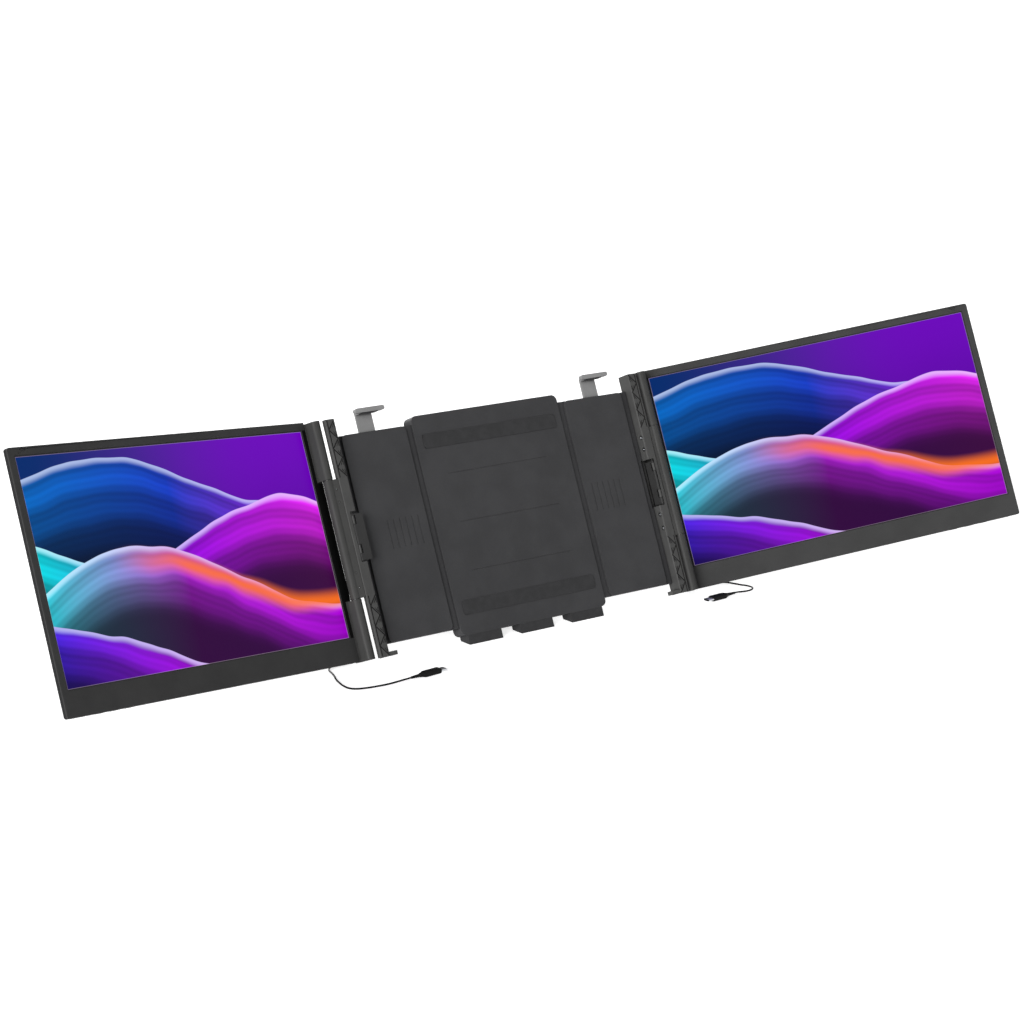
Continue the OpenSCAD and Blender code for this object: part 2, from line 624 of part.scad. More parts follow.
module main_board(s) at_wing(s) color([0.05, 0.30, 0.16]) {
    block([board_in, board_front, board_low], [board_out, board_front + board_t, 62]);
    block([wing_in + 0.4 + socket_l, board_front, 62], [30, board_front + board_t, 80]);
    block([36, board_front, wing_low + 0.4 + socket_l], [76, board_front + board_t, board_low]);
    block([button_u[0] - 6, board_front - 2.6, 6.4], [button_u[2] + 6, hump_floor, 7.2]);
    for (chip = [[60, 30, 9], [92, 34, 7], [128, 28, 12],
                 [board_out - 84, 36, 8], [board_out - 46, 26, 10], [board_out - 20, 40, 6]])
        block([chip[0], board_front - 1, chip[1]], [chip[0] + chip[2], board_front, chip[1] + chip[2]]);
}

// Ribbon from the panel's lower edge to the board
module flex_cable(s) at_wing(s) color([0.72, 0.45, 0.12]) for (u = ribbon_u) {
    block([u, ribbon_front, panel_low - 4], [u + ribbon_w, ribbon_front + 0.3, panel_low]);
    block([u, ribbon_front, panel_low - 4.3], [u + ribbon_w, board_front, panel_low - 4]);
}

// Top and bottom hinge leaves: a barrel that runs into the wing's inner edge
module leaf(s, z0, z1) difference() {
    union() {
        rod_z(barrel_d, 0, 0, z0, z1);
        translate([0, 0, z0]) linear_extrude(z1 - z0) polygon([
            [-barrel_r, 0], [-barrel_r, 1.5], [-2, front_v(s)], [-2, front_v(s) + wing_t],
            [leaf_out, front_v(s) + wing_t], [leaf_out, front_v(s)], [barrel_r, front_v(s) - 0.4], [barrel_r, 0]
        ]);
    }
    rod_z(pin_d + 2 * run_gap, 0, 0, z0 - eps, z1 + eps);
}

module hinge_leaves(s) at_hinge(s) color(shell_grey) {
    leaf(s, leaf_low, knuckle_low - knuckle_gap);
    leaf(s, knuckle_high + knuckle_gap, leaf_high);
}

module cover_screws(s) at_wing(s) color(steel) for (u = screw_u)
    screw_y(2, 4, 1.2, u, bezel_t + 0.2, hump_back - 0.4, screw_z);

module button(s, u) at_wing(s) color(soft_black) {
    upright_plate([u - 4.4, wing_low - 0.25], [u + 4.4, wing_low + 2], 1, socket_w - 1.2, socket_w + 1.2);
    block([u - 5.4, socket_w - 1.5, wing_low + 1.8], [u + 5.4, socket_w + 1.5, wing_low + 2.8]);
    block([u - 1.2, socket_w - 1, wing_low + 2.8], [u + 1.2, socket_w + 1, 5.9]);
}

module button_power(s) button(s, button_u[0]);
module button_plus(s) button(s, button_u[1]);
module button_minus(s) button(s, button_u[2]);

// ======== cords ========
function unit(v) = v / norm(v);
function at_bend(p, i) =
    i == 0 ? unit(p[1] - p[0]) :
    i == len(p) - 1 ? unit(p[i] - p[i - 1]) :
    unit(unit(p[i] - p[i - 1]) + unit(p[i + 1] - p[i]));
// Point a share t of the way through span i, on a curve that passes through every route point
function on_route(p, i, t) = let(
        a = p[max(i - 1, 0)], b = p[i], c = p[i + 1], d = p[min(i + 2, len(p) - 1)]
    ) 0.5 * ((2 * b) + (c - a) * t + (2 * a - 5 * b + 4 * c - d) * t * t + (3 * b - a - 3 * c + d) * t * t * t);
function smooth_route(p, cuts) = concat(
    [for (i = [0:len(p) - 2]) for (k = [0:cuts - 1]) on_route(p, i, k / cuts)], [p[len(p) - 1]]);

// Round tube swept along points; each ring's sides stay square to the floor plane
module tube(p, d) {
    sides = 8;
    n = len(p);
    rings = [for (i = [0:n - 1]) let(
        t = at_bend(p, i),
        side = unit(cross(t, abs(t[2]) > 0.8 ? [0, 1, 0] : [0, 0, 1])),
        up = cross(side, t)
    ) for (k = [0:sides - 1]) p[i] + d / 2 * (cos(360 * k / sides) * side + sin(360 * k / sides) * up)];
    walls = [for (i = [0:n - 2], k = [0:sides - 1]) [
        i * sides + k, i * sides + (k + 1) % sides,
        (i + 1) * sides + (k + 1) % sides, (i + 1) * sides + k]];
    near = [for (k = [0:sides - 1]) sides - 1 - k];
    far = [for (k = [0:sides - 1]) (n - 1) * sides + k];
    polyhedron(rings, concat([near], walls, [far]), convexity = 6);
}

// Where a point of the wing, given in its own axes, lies in the row's frame
function wing_point(s, u, w, z) = let(
        v = front_v(s) + w,
        x = axis_x + u * cos(open_at(s)) + v * sin(open_at(s)),
        y = axis_y(s) - u * sin(open_at(s)) + v * cos(open_at(s))
    ) [s * x, y * cos(lean) + z * sin(lean) - stand_y, z * cos(lean) - y * sin(lean) + stand_z];
// Point on the cord's axis a little below the side plug
function below_side_plug(s, drop) =
    wing_point(s, (side_plug_u[0] + side_plug_u[1]) / 2, socket_w, side_port_z - side_plug_drop - drop);
function desk_plug_at(s) = s < 0 ? desk_plug_left : desk_plug_right;
function desk_turn(s) = s < 0 ? desk_turn_left : desk_turn_right;
function heading(s) = [cos(desk_turn(s)), sin(desk_turn(s)), 0];
function cord_route(s) = concat(
    [below_side_plug(s, 0), below_side_plug(s, 6)], s < 0 ? route_left : route_right,
    [desk_plug_at(s) - 4 * heading(s), desk_plug_at(s)]);

module cord(s) color(soft_black) tube(smooth_route(cord_route(s), 3), cord_d);

// Straight plug lying on the desk, cord entering from -X
module desk_plug() {
    rod_x(strain_d, 0, strain_len, 0, 0);
    upright_plate([strain_len, -plug_h / 2], [strain_len + plug_len, plug_h / 2], 1.6, -plug_w / 2, plug_w / 2);
    upright_plate([strain_len + plug_len, -1.2], [strain_len + plug_len + tongue_len, 1.2], 1.1, -4.1, 4.1);
}

// Angled plug in the wing's side port, cord leaving downward
module side_plug(s) at_wing(s) {
    block([side_plug_u[0], socket_w - 2.8, side_port_z - side_plug_drop],
          [side_plug_u[1], socket_w + 2.8, side_port_z + 6]);
    block([side_plug_u[1], socket_w - 1.2, side_port_z - 4.1], [wing_in + 6, socket_w + 1.2, side_port_z + 4.1]);
}

module cord_plugs(s) color(soft_black) {
    translate(desk_plug_at(s)) rotate([0, 0, desk_turn(s)]) desk_plug();
    side_plug(s);
}

centre_back_shell();
centre_front_plate();
lid_pads();
centre_screws();
guide_rails();
kickstand_pin();
foot_pads();
kickstand_leg();
kickstand_foot();
rail_bushes(LEFT);  // rail_bushes_left
arm_frame(LEFT);  // arm_frame_left
arm_cover(LEFT);  // arm_cover_left
column(LEFT);  // column_left
hinge_block(LEFT);  // hinge_block_left
hinge_pins(LEFT);  // hinge_pins_left
hinge_washers(LEFT);  // hinge_washers_left
column_screws(LEFT);  // column_screws_left
side_clip(LEFT);  // side_clip_left
top_clip(LEFT);  // top_clip_left
top_clip_pad(LEFT);  // top_clip_pad_left
rail_bushes(RIGHT);  // rail_bushes_right
arm_frame(RIGHT);  // arm_frame_right
arm_cover(RIGHT);  // arm_cover_right
column(RIGHT);  // column_right
hinge_block(RIGHT);  // hinge_block_right
hinge_pins(RIGHT);  // hinge_pins_right
hinge_washers(RIGHT);  // hinge_washers_right
column_screws(RIGHT);  // column_screws_right
side_clip(RIGHT);  // side_clip_right
top_clip(RIGHT);  // top_clip_right
top_clip_pad(RIGHT);  // top_clip_pad_right
rear_cover(LEFT);  // rear_cover_left
front_bezel(LEFT);  // front_bezel_left
display_panel(LEFT);  // display_panel_left
backlight(LEFT);  // backlight_left
main_board(LEFT);  // main_board_left
port_sockets(LEFT);  // port_sockets_left
flex_cable(LEFT);  // flex_cable_left
hinge_leaves(LEFT);  // hinge_leaves_left
cover_screws(LEFT);  // cover_screws_left
button_power(LEFT);  // button_power_left
button_plus(LEFT);  // button_plus_left
button_minus(LEFT);  // button_minus_left
cord(LEFT);  // cord_left
cord_plugs(LEFT);  // cord_plugs_left
rear_cover(RIGHT);  // rear_cover_right
front_bezel(RIGHT);  // front_bezel_right
display_panel(RIGHT);  // display_panel_right
backlight(RIGHT);  // backlight_right
main_board(RIGHT);  // main_board_right
port_sockets(RIGHT);  // port_sockets_right
flex_cable(RIGHT);  // flex_cable_right
hinge_leaves(RIGHT);  // hinge_leaves_right
cover_screws(RIGHT);  // cover_screws_right
button_power(RIGHT);  // button_power_right
button_plus(RIGHT);  // button_plus_right
button_minus(RIGHT);  // button_minus_right
cord(RIGHT);  // cord_right
cord_plugs(RIGHT);  // cord_plugs_right
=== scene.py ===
"""Laptop screen extender: two side monitors hinged on a frame that clips behind a laptop's lid."""

import json
from math import cos, pi, radians, sin

import bmesh
import bpy
from mathutils import Matrix, Vector


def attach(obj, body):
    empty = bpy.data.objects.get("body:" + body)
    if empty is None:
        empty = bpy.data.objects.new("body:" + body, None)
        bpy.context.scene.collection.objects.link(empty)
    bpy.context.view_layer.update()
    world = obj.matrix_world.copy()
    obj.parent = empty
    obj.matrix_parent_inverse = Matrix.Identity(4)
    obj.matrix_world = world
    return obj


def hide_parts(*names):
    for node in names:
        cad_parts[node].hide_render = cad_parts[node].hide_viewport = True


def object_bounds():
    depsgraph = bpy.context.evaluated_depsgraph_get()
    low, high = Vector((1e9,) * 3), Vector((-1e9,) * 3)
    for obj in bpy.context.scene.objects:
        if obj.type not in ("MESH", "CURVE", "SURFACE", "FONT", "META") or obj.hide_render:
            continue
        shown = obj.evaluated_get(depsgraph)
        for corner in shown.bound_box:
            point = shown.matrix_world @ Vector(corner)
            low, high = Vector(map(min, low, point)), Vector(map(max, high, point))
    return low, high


bl_info = {
    "name": "Laptop Screen Extender",
    "version": (1, 0, 0),
    "blender": (4, 5, 0),
    "location": "3D View > Sidebar > Extender",
    "description": "Dresses the packed solids of a two-screen laptop extender and lights them",
    "category": "Object",
}

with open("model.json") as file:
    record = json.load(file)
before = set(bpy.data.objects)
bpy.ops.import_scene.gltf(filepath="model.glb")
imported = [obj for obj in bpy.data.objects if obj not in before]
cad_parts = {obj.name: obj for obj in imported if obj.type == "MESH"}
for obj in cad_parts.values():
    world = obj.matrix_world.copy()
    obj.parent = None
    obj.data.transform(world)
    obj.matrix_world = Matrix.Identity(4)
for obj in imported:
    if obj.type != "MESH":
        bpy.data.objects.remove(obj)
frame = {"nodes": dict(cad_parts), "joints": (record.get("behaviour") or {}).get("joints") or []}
CAD_BOX = [list(corner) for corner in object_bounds()]
NODES = frame["nodes"]
JOINTS = {joint["name"]: joint for joint in frame["joints"]}
SIDES = {"left": -1, "right": 1}
MM = 0.001

# Camera: where it looks along and down in degrees, where it stands in metres, its lens and its shift
CAMERA_AROUND, CAMERA_DOWN = -36.881, 14.258
CAMERA_PLACE = (-1.4957, -1.9612, 0.7392)
CAMERA_LENS, SENSOR_WIDTH = 92.92, 36.0
CAMERA_SHIFT = (-0.00016, 0.00359)

# Studio suns: name, direction towards the sun, strength, and how wide it is in degrees
LAMPS = (
    ("key_light", (-0.90, -0.50, 0.27), 3.8, 34),
    ("fill_light", (0.55, -0.85, 0.50), 0.30, 60),
    ("back_light", (0.25, 0.95, 0.30), 2.2, 50),
)
WORLD_LIGHT = 0.20
FLOOR_GLOW = 0.74
FLOOR_RADII = (0.5, 2.0, 8.0, 40.0)
FLOOR_SIDES = 48
SEEN_RAYS = ("Is Camera Ray", "Is Glossy Ray", "Is Transmission Ray")

# Least angle of an edge that shading keeps sharp, and of one that is rounded, in degrees
SHARP_ANGLE, ROUNDED_ANGLE = 32, 50

# Route points of each cord between its side plug and its desk plug, in millimetres
CORD_ROUTES = {
    "left": [
        (-196.5, 18.5, 33), (-197.2, 12.8, 19.5), (-199, 9.2, 11), (-202.3, 7.8, 6), (-207.6, 8, 2.8),
        (-214.8, 9.2, 1.4), (-223, 9.3, 1.2), (-230.5, 6, 1.2), (-235, 0, 1.2), (-237.5, -8, 1.2),
        (-241, -18, 1.2), (-245, -27, 1.2), (-248, -37, 1.2), (-250, -47, 1.2), (-249.5, -55.5, 1.2),
        (-245, -61, 1.2), (-237, -64, 1.2), (-226.5, -66, 1.3), (-215.5, -67.8, 1.7), (-205.5, -68.8, 2.5),
    ],
    "right": [
        (199.5, 18, 33.5), (199.5, 12, 19.5), (200.6, 9.2, 11), (203.4, 8.6, 5.9), (208.4, 9.5, 2.6),
        (215.5, 11.5, 1.2), (227, 12.5, 1.2), (239, 12.5, 1.2), (249, 10.5, 1.2), (256.5, 5.5, 1.2),
        (259.5, -1.5, 1.2), (262.5, -10.5, 1.2), (265.5, -17.5, 1.2), (265, -24.5, 1.2), (259.5, -29.6, 1.2),
        (252, -31.5, 1.4), (243, -32.5, 2.3),
    ],
}
# Where each desk plug starts, in millimetres, and the direction that it points in, in degrees
DESK_PLUGS = {"left": ((-190.5, -68.3, 3.1), 6), "right": ((233, -33.5, 3.1), 184)}
# Last stretch of a cord that runs straight into its desk plug, in millimetres
STRAIGHT_END = 4

# Side plugs, in millimetres in the axes of their wing: near and far end along the wing, middle behind the
# bezel's face, half thickness, heights of top and foot, and where the cord is straight down to
SIDE_PLUG_NEAR, SIDE_PLUG_FAR = -9, 1.9
SIDE_PLUG_BACK = 5.95
SIDE_PLUG_HALF = 2.8
SIDE_PLUG_TOP, SIDE_PLUG_FOOT, CORD_TURN = 78, 65, 59
# Radii of the side plug's relief from rib to rib, and the distance between them, in millimetres
RIB_RADII = (2.0, 1.55, 1.85, 1.4, 1.7, 1.28, 1.5, 1.15)
RIB_STEP = 1.0
# Metal end of the side plug along the wing and its height, in millimetres
SIDE_METAL_NEAR, SIDE_METAL_FAR, SIDE_METAL_HEIGHT = 1.7, 8, 72
# Half width and half height of every plug's metal shell, in millimetres
METAL_HALF_WIDTH, METAL_HALF_HEIGHT = 4.1, 1.2

# Slots that black blocks of painted shade fill, in millimetres, as their low and high corners. Lip slots lie
# between the bezel and the hinge leaves, out along the wing, back and up. Clip slots lie behind the side
# clip's recess and at its foot and head, out from the frame's middle, back and up.
LIP_SLOTS = (
    ((-1.5, 0.2, 57.6), (5.6, 1.6, 58.8)),
    ((-1.5, 0.2, 171.2), (5.6, 1.6, 172.4)),
)
CLIP_SLOTS = (
    ((175.2, 12.6, 90.2), (178.2, 13.4, 139.8)),
    ((178.3, 5.6, 90.15), (184.8, 13.6, 90.95)),
    ((178.3, 5.6, 139.05), (184.8, 13.6, 139.85)),
)


class ExtenderSizes(bpy.types.PropertyGroup):
    """Lengths of the extender's visible parts, as its solids have them."""

    screen_width: bpy.props.FloatProperty(
        name="Lit Width", description="Width of each screen's lit area",
        default=0.3542, unit="LENGTH", precision=4)
    screen_height: bpy.props.FloatProperty(
        name="Lit Height", description="Height of each screen's lit area",
        default=0.1992, unit="LENGTH", precision=4)
    hinge_to_screen: bpy.props.FloatProperty(
        name="Hinge to Lit Area", description="From the hinge axis to the lit area's near edge",
        default=0.0108, unit="LENGTH", precision=4)
    wing_bottom: bpy.props.FloatProperty(
        name="Wing Bottom", description="Height of a wing's lower edge above the frame's zero",
        default=0.001, unit="LENGTH", precision=4)
    chin: bpy.props.FloatProperty(
        name="Chin", description="Height of the bezel below the lit area",
        default=0.0228, unit="LENGTH", precision=4)
    skin_depth: bpy.props.FloatProperty(
        name="Screen Recess", description="How far the screen's skin lies behind the bezel's face",
        default=0.001, unit="LENGTH", precision=4)
    gasket: bpy.props.FloatProperty(
        name="Gasket Width", description="Width of the black gasket round the lit area",
        default=0.0009, unit="LENGTH", precision=4)
    edge_round: bpy.props.FloatProperty(
        name="Edge Rounding", description="Radius on the edges of bezels and rear covers",
        default=0.0003, unit="LENGTH", precision=5)
    cord: bpy.props.FloatProperty(
        name="Cord Diameter", description="Diameter of the cords' jackets",
        default=0.0018, unit="LENGTH", precision=4)
    relief: bpy.props.FloatProperty(
        name="Strain Relief Length", description="Length of each desk plug's strain relief",
        default=0.010, unit="LENGTH", precision=4)
    plug_length: bpy.props.FloatProperty(
        name="Plug Length", description="Length of a desk plug's grip",
        default=0.024, unit="LENGTH", precision=4)
    plug_width: bpy.props.FloatProperty(
        name="Plug Width", description="Width of a desk plug's grip",
        default=0.0086, unit="LENGTH", precision=4)
    plug_height: bpy.props.FloatProperty(
        name="Plug Height", description="Height of a desk plug's grip",
        default=0.005, unit="LENGTH", precision=4)
    tongue: bpy.props.FloatProperty(
        name="Metal Length", description="Length of the metal shell on a plug's end",
        default=0.0066, unit="LENGTH", precision=4)


def colour_property(label, purpose, value):
    """A user's colour, linear, shown as a swatch."""
    return bpy.props.FloatVectorProperty(
        name=label, description=purpose, default=value, size=3, min=0, max=1, subtype="COLOR")


class ExtenderColours(bpy.types.PropertyGroup):
    """Colours of the extender's materials."""

    bezel: colour_property("Bezel", "Moulded front of each wing", (0.042, 0.042, 0.042))
    rear: colour_property("Rear Cover", "Moulded back of each wing", (0.019, 0.019, 0.020))
    core: colour_property("Frame", "Centre frame and its arms", (0.045, 0.045, 0.047))
    column: colour_property("Column", "Columns with the engraved lattice", (0.062, 0.062, 0.061))
    hinge: colour_property("Hinge", "Hinge barrels and leaves", (0.044, 0.044, 0.043))
    clip: colour_property("Side Clip", "Clips beside the lid", (0.032, 0.032, 0.032))
    top_clip: colour_property("Top Clip", "Clips that hook over the lid", (0.24, 0.24, 0.24))
    leg: colour_property("Kickstand", "Painted metal of the kickstand", (0.085, 0.087, 0.092))
    rubber: colour_property("Rubber", "Pads, feet and gaskets", (0.014, 0.014, 0.015))
    cord: colour_property("Cord", "Cord jackets and plugs", (0.005, 0.005, 0.005))
    button: colour_property("Button", "Push buttons", (0.022, 0.022, 0.024))
    steel: colour_property("Steel", "Screws, pins, rails and sockets", (0.56, 0.57, 0.59))
    washer: colour_property("Washer", "Blackened washers between the hinge knuckles", (0.035, 0.035, 0.037))
    nylon: colour_property("Nylon", "Sliding bushes", (0.72, 0.70, 0.65))
    floor: colour_property("Floor", "Studio floor", (0.80, 0.80, 0.80))


# ---- where the wings are ----

class Wing:
    """Axes of one wing at rest: u out along it, w to its back, up along its hinge."""

    def __init__(self, side):
        joint = JOINTS[f"wing_{side}_fold"]
        turn = radians(-joint["range_deg"][0])
        sign = SIDES[side]
        self.side = side
        axis = Vector(joint["axis"]).normalized()
        self.up = axis if axis.z > 0 else -axis
        back = Vector((0, self.up.z, -self.up.y))
        self.u = sign * cos(turn) * Vector((1, 0, 0)) - sin(turn) * back
        self.w = sign * sin(turn) * Vector((1, 0, 0)) + cos(turn) * back
        hinge = Vector(joint["pos_m"])
        corners = [v.co - hinge for v in NODES[f"front_bezel_{side}"].data.vertices]
        face = min(c.dot(self.w) for c in corners)
        foot = min(c.dot(self.up) for c in corners) - sizes().wing_bottom
        self.origin = hinge + face * self.w + foot * self.up

    def at(self, u, w, z):
        """The point of the row frame at u, w and z of this wing, in metres."""
        return self.origin + u * self.u + w * self.w + z * self.up

    def picture_axes(self):
        """Lower left corner of the lit area as its viewer sees it, and the axes across, up and out."""
        s = sizes()
        across = SIDES[self.side] * self.u
        near = s.hinge_to_screen if self.side == "right" else s.hinge_to_screen + s.screen_width
        corner = self.at(near, s.skin_depth, s.wing_bottom + s.chin)
        return corner, Matrix((across, self.up, -self.w)).transposed()


def column_axes(side):
    """Call that gives the point x outward, y back and z up along a column from its foot's front."""
    up = Wing(side).up
    back = Vector((0, up.z, -up.y))
    corners = [v.co for v in NODES[f"column_{side}"].data.vertices]
    origin = min(c.dot(back) for c in corners) * back + min(c.dot(up) for c in corners) * up
    return lambda x, y, z: origin + Vector((SIDES[side] * x, 0, 0)) + y * back + z * up


def sizes():
    """The sizes in the scene's panel."""
    return bpy.context.scene.extender_sizes


def colours():
    """The colours in the scene's panel."""
    return bpy.context.scene.extender_colours


def both(*names):
    """Each name for the left and for the right side."""
    return [f"{name}_{side}" for name in names for side in SIDES]


# ---- materials ----

class Finish:
    """One material and short calls for the nodes that its look is built from."""

    def __init__(self, name, **sockets):
        self.material = bpy.data.materials.new(name)
        self.material.use_nodes = True
        self.tree = self.material.node_tree
        self.shader = self.tree.nodes["Principled BSDF"]
        self.place = self.node("ShaderNodeTexCoord").outputs["Object"]
        self.set(**sockets)

    def set(self, **sockets):
        """Sets sockets of the shader, named as base_color for Base Color."""
        for name, value in sockets.items():
            title = " ".join(word if word == "IOR" else word.capitalize() for word in name.split("_"))
            self.put(self.shader.inputs[title], value)

    def put(self, socket, value):
        """A link where value is a socket, and else its fixed value."""
        if isinstance(value, bpy.types.NodeSocket):
            self.tree.links.new(value, socket)
        else:
            socket.default_value = value

    def node(self, kind, inputs=None, **settings):
        """A new node with its settings and inputs."""
        made = self.tree.nodes.new(kind)
        for key, value in settings.items():
            setattr(made, key, value)
        for key, value in (inputs or {}).items():
            self.put(made.inputs[key], value)
        return made

    def math(self, operation, *values):
        """Result of a Math node."""
        return self.node("ShaderNodeMath", dict(enumerate(values)), operation=operation).outputs[0]

    def span(self, value, low, high, to_low=0.0, to_high=1.0):
        """value moved from low..high to to_low..to_high, smoothly and clamped."""
        made = self.node("ShaderNodeMapRange", interpolation_type="SMOOTHSTEP")
        for index, item in enumerate((value, low, high, to_low, to_high)):
            self.put(made.inputs[index], item)
        return made.outputs[0]

    def mix(self, share, first, second, kind="MIX"):
        """Colour between first and second."""
        made = self.node("ShaderNodeMix", data_type="RGBA", blend_type=kind)
        for index, item in ((0, share), (6, first), (7, second)):
            self.put(made.inputs[index], rgba(item) if index else item)
        return made.outputs[2]

    def stretched(self, factors):
        """Coordinates scaled by one factor for each axis."""
        return self.node("ShaderNodeMapping", {"Vector": self.place, "Scale": factors}).outputs[0]

    def noise(self, size, detail=2.0, place=None):
        """Smooth noise, 0..1, whose patches are about size metres across."""
        return self.node("ShaderNodeTexNoise", {
            "Vector": place or self.place, "Scale": 1 / size, "Detail": detail}).outputs[0]

    def ramp(self, share, *stops):
        """Colour ramp through (position, colour) stops."""
        made = self.node("ShaderNodeValToRGB", {"Fac": share})
        points = made.color_ramp.elements
        for _ in stops[2:]:
            points.new(0.5)
        for point, (position, colour) in zip(points, stops):
            point.position = position
            point.color = rgba(colour)
        return made.outputs[0]

    def rounded(self, radius):
        """Normal that turns over the part's edges within radius."""
        return self.node("ShaderNodeBevel", {"Radius": radius}, samples=4).outputs[0]

    def edges(self, radius):
        """Share of edge at a point: 0 on flat ground and 1 on a sharp edge."""
        flat = self.node("ShaderNodeNewGeometry").outputs["Normal"]
        dot = self.node("ShaderNodeVectorMath", {0: self.rounded(radius), 1: flat}, operation="DOT_PRODUCT")
        return self.span(dot.outputs["Value"], 0.995, 0.80)

    def crevices(self, distance):
        """Share of open sky at a point: lower in grooves and corners."""
        return self.node("ShaderNodeAmbientOcclusion", {"Distance": distance}, samples=6).outputs["AO"]

    def bump(self, height, depth, strength=1.0, normal=None):
        """Normal over a height of 0..1 that stands for depth metres."""
        made = self.node("ShaderNodeBump", {"Height": height, "Distance": depth, "Strength": strength})
        if normal is not None:
            self.put(made.inputs["Normal"], normal)
        return made.outputs[0]


def rgba(value):
    """A colour with its alpha, or a socket as it is."""
    if isinstance(value, bpy.types.NodeSocket):
        return value
    if isinstance(value, (int, float)):
        return (value, value, value, 1.0)
    return (*value, 1.0) if len(value) == 3 else tuple(value)


def moulded(name, colour, roughness=0.52, grain=0.00045, depth=0.00002, edge_wear_and_shading=0.3, edge=0.13, rim=0.0004,
            crevice_shade=0.5, reach=0.0028, shade_band=None):
    """Moulded plastic with fine eroded grain and faint flow marks.

    grain and depth are the pits' width and depth. The edge amount says how much of an edge, rim wide, takes
    the
    colour edge: real wear, and also painted shade where that colour is dark and painted highlight where it is
    light. The corner amount is how dark the painted shade in corners is, as far out as reach. The last
    argument is a mask of a band of black painted shade.
    """
    f = Finish(name, specular_IOR_level=0.08)
    cloud = f.noise(0.035, 3)
    pits = f.noise(grain, 2)
    tone = f.math("ADD", f.span(cloud, 0.3, 0.7, 0.92, 1.08), f.span(pits, 0.3, 0.7, -0.07, 0.07))
    body = f.mix(1.0, colour, tone, "MULTIPLY")
    # Painted shade: the base colour darkens in corners and crevices, by the corner amount and as far out as
    # reach.
    body = f.mix(f.span(f.crevices(reach), 0.2, 0.95, crevice_shade, 0.0), body, 0.002)
    # Edge colour: real wear, and also painted shade where the edge colour is dark and painted highlight where
    # it is light; the same mask lowers the roughness as real wear.
    edge_marks = f.math("MULTIPLY", f.edges(rim), f.span(f.noise(0.006, 4), 0.35, 0.75, edge_wear_and_shading * 0.5, edge_wear_and_shading))
    body = f.mix(edge_marks, body, edge)
    # Painted shade: the base colour goes black where the band's mask is.
    if shade_band:
        body = f.mix(shade_band(f), body, 0.003)
    f.set(base_color=body)
    rub = f.noise(0.012, 3, f.stretched((1.0, 1.0, 0.3)))
    finish = f.math("SUBTRACT", f.span(rub, 0.3, 0.7, roughness - 0.05, roughness + 0.06),
                    f.math("MULTIPLY", edge_marks, 0.12))
    f.set(roughness=finish)
    peel = f.bump(f.noise(0.004, 2), 0.00001, 0.5, f.rounded(0.0002))
    f.set(normal=f.bump(pits, depth, 0.8, peel))
    return f.material


def along(f, axis, origin):
    """Distance of a point from origin along axis, in metres."""
    reached = f.node("ShaderNodeVectorMath", {0: f.place, 1: axis}, operation="DOT_PRODUCT")
    return f.math("SUBTRACT", reached.outputs["Value"], origin.dot(axis))


def hinge_shade_band(wing):
    """Painted shade: black on the bezel between the hinge and the lit area, as high as that area, where the
    gap beside the hinge lies in shade.
    """
    def mask(f):
        s = sizes()
        blur = 0.4 * MM
        out, rise = along(f, wing.u, wing.origin), along(f, wing.up, wing.origin)
        low = s.wing_bottom + s.chin
        high = low + s.screen_height
        tall = f.math("MULTIPLY", f.span(rise, low, low + blur), f.span(rise, high + blur, high))
        return f.math("MULTIPLY", tall, f.span(out, s.hinge_to_screen, s.hinge_to_screen - blur))
    return mask


def engraved(name, colour):
    """Column plastic with painted shade in its corners, in its engraved grooves and on its edges."""
    f = Finish(name, specular_IOR_level=0.10)
    pits = f.noise(0.0005, 2)
    tone = f.math("ADD", f.span(f.noise(0.02, 3), 0.3, 0.7, 0.93, 1.07), f.span(pits, 0.3, 0.7, -0.06, 0.06))
    body = f.mix(1.0, colour, tone, "MULTIPLY")
    # Painted shade: darker in corners, and more strongly in the engraved grooves.
    body = f.mix(f.span(f.crevices(0.006), 0.15, 0.85, 0.8, 0.0), body, 0.001)
    body = f.mix(f.span(f.crevices(0.0016), 0.35, 0.92, 1.0, 0.0), body, 0.0005)
    # Painted shade: dark outlines on the edges, where the side faces turn into shade.
    painted_edge_shade = f.math("MULTIPLY", f.edges(0.0006), f.span(f.noise(0.004, 3), 0.35, 0.7, 0.85, 1.0))
    f.set(base_color=f.mix(painted_edge_shade, body, 0.002), roughness=f.span(f.noise(0.01, 3), 0.3, 0.7, 0.42, 0.54))
    f.set(normal=f.bump(pits, 0.000018, 0.8, f.rounded(0.00015)))
    return f.material


def soft_rubber(name, colour, grain=0.0006, roughness=0.72):
    """Rubber: matt, pitted, with a little dust bloom on its edges."""
    f = Finish(name, specular_IOR_level=0.35)
    pits = f.noise(grain, 3)
    bloom = f.math("MULTIPLY", f.edges(0.0005), 0.35)
    body = f.mix(1.0, colour, f.span(f.noise(0.008, 3), 0.3, 0.7, 0.85, 1.25), "MULTIPLY")
    f.set(base_color=f.mix(bloom, body, 0.08))
    f.set(roughness=f.span(pits, 0.3, 0.7, roughness - 0.08, roughness + 0.08))
    f.set(normal=f.bump(pits, 0.00004, 0.9, f.rounded(0.0002)))
    return f.material


def brushed_steel(name, colour, lines=(1.0, 1.0, 0.06), roughness=0.3):
    """Turned or drawn steel: fine lines, slight tarnish and bright edges."""
    f = Finish(name, metallic=1.0)
    streaks = f.noise(0.0003, 3, f.stretched(lines))
    tarnish = f.noise(0.004, 4)
    body = f.mix(1.0, colour, f.span(streaks, 0.3, 0.7, 0.86, 1.08), "MULTIPLY")
    body = f.mix(f.span(tarnish, 0.5, 0.8, 0.0, 0.35), body, (0.30, 0.27, 0.24))
    f.set(base_color=f.mix(f.math("MULTIPLY", f.edges(0.0002), 0.6), body, 0.8))
    f.set(roughness=f.span(tarnish, 0.3, 0.7, roughness - 0.06, roughness + 0.12))
    f.set(normal=f.bump(streaks, 0.000004, 0.7, f.rounded(0.0001)))
    return f.material


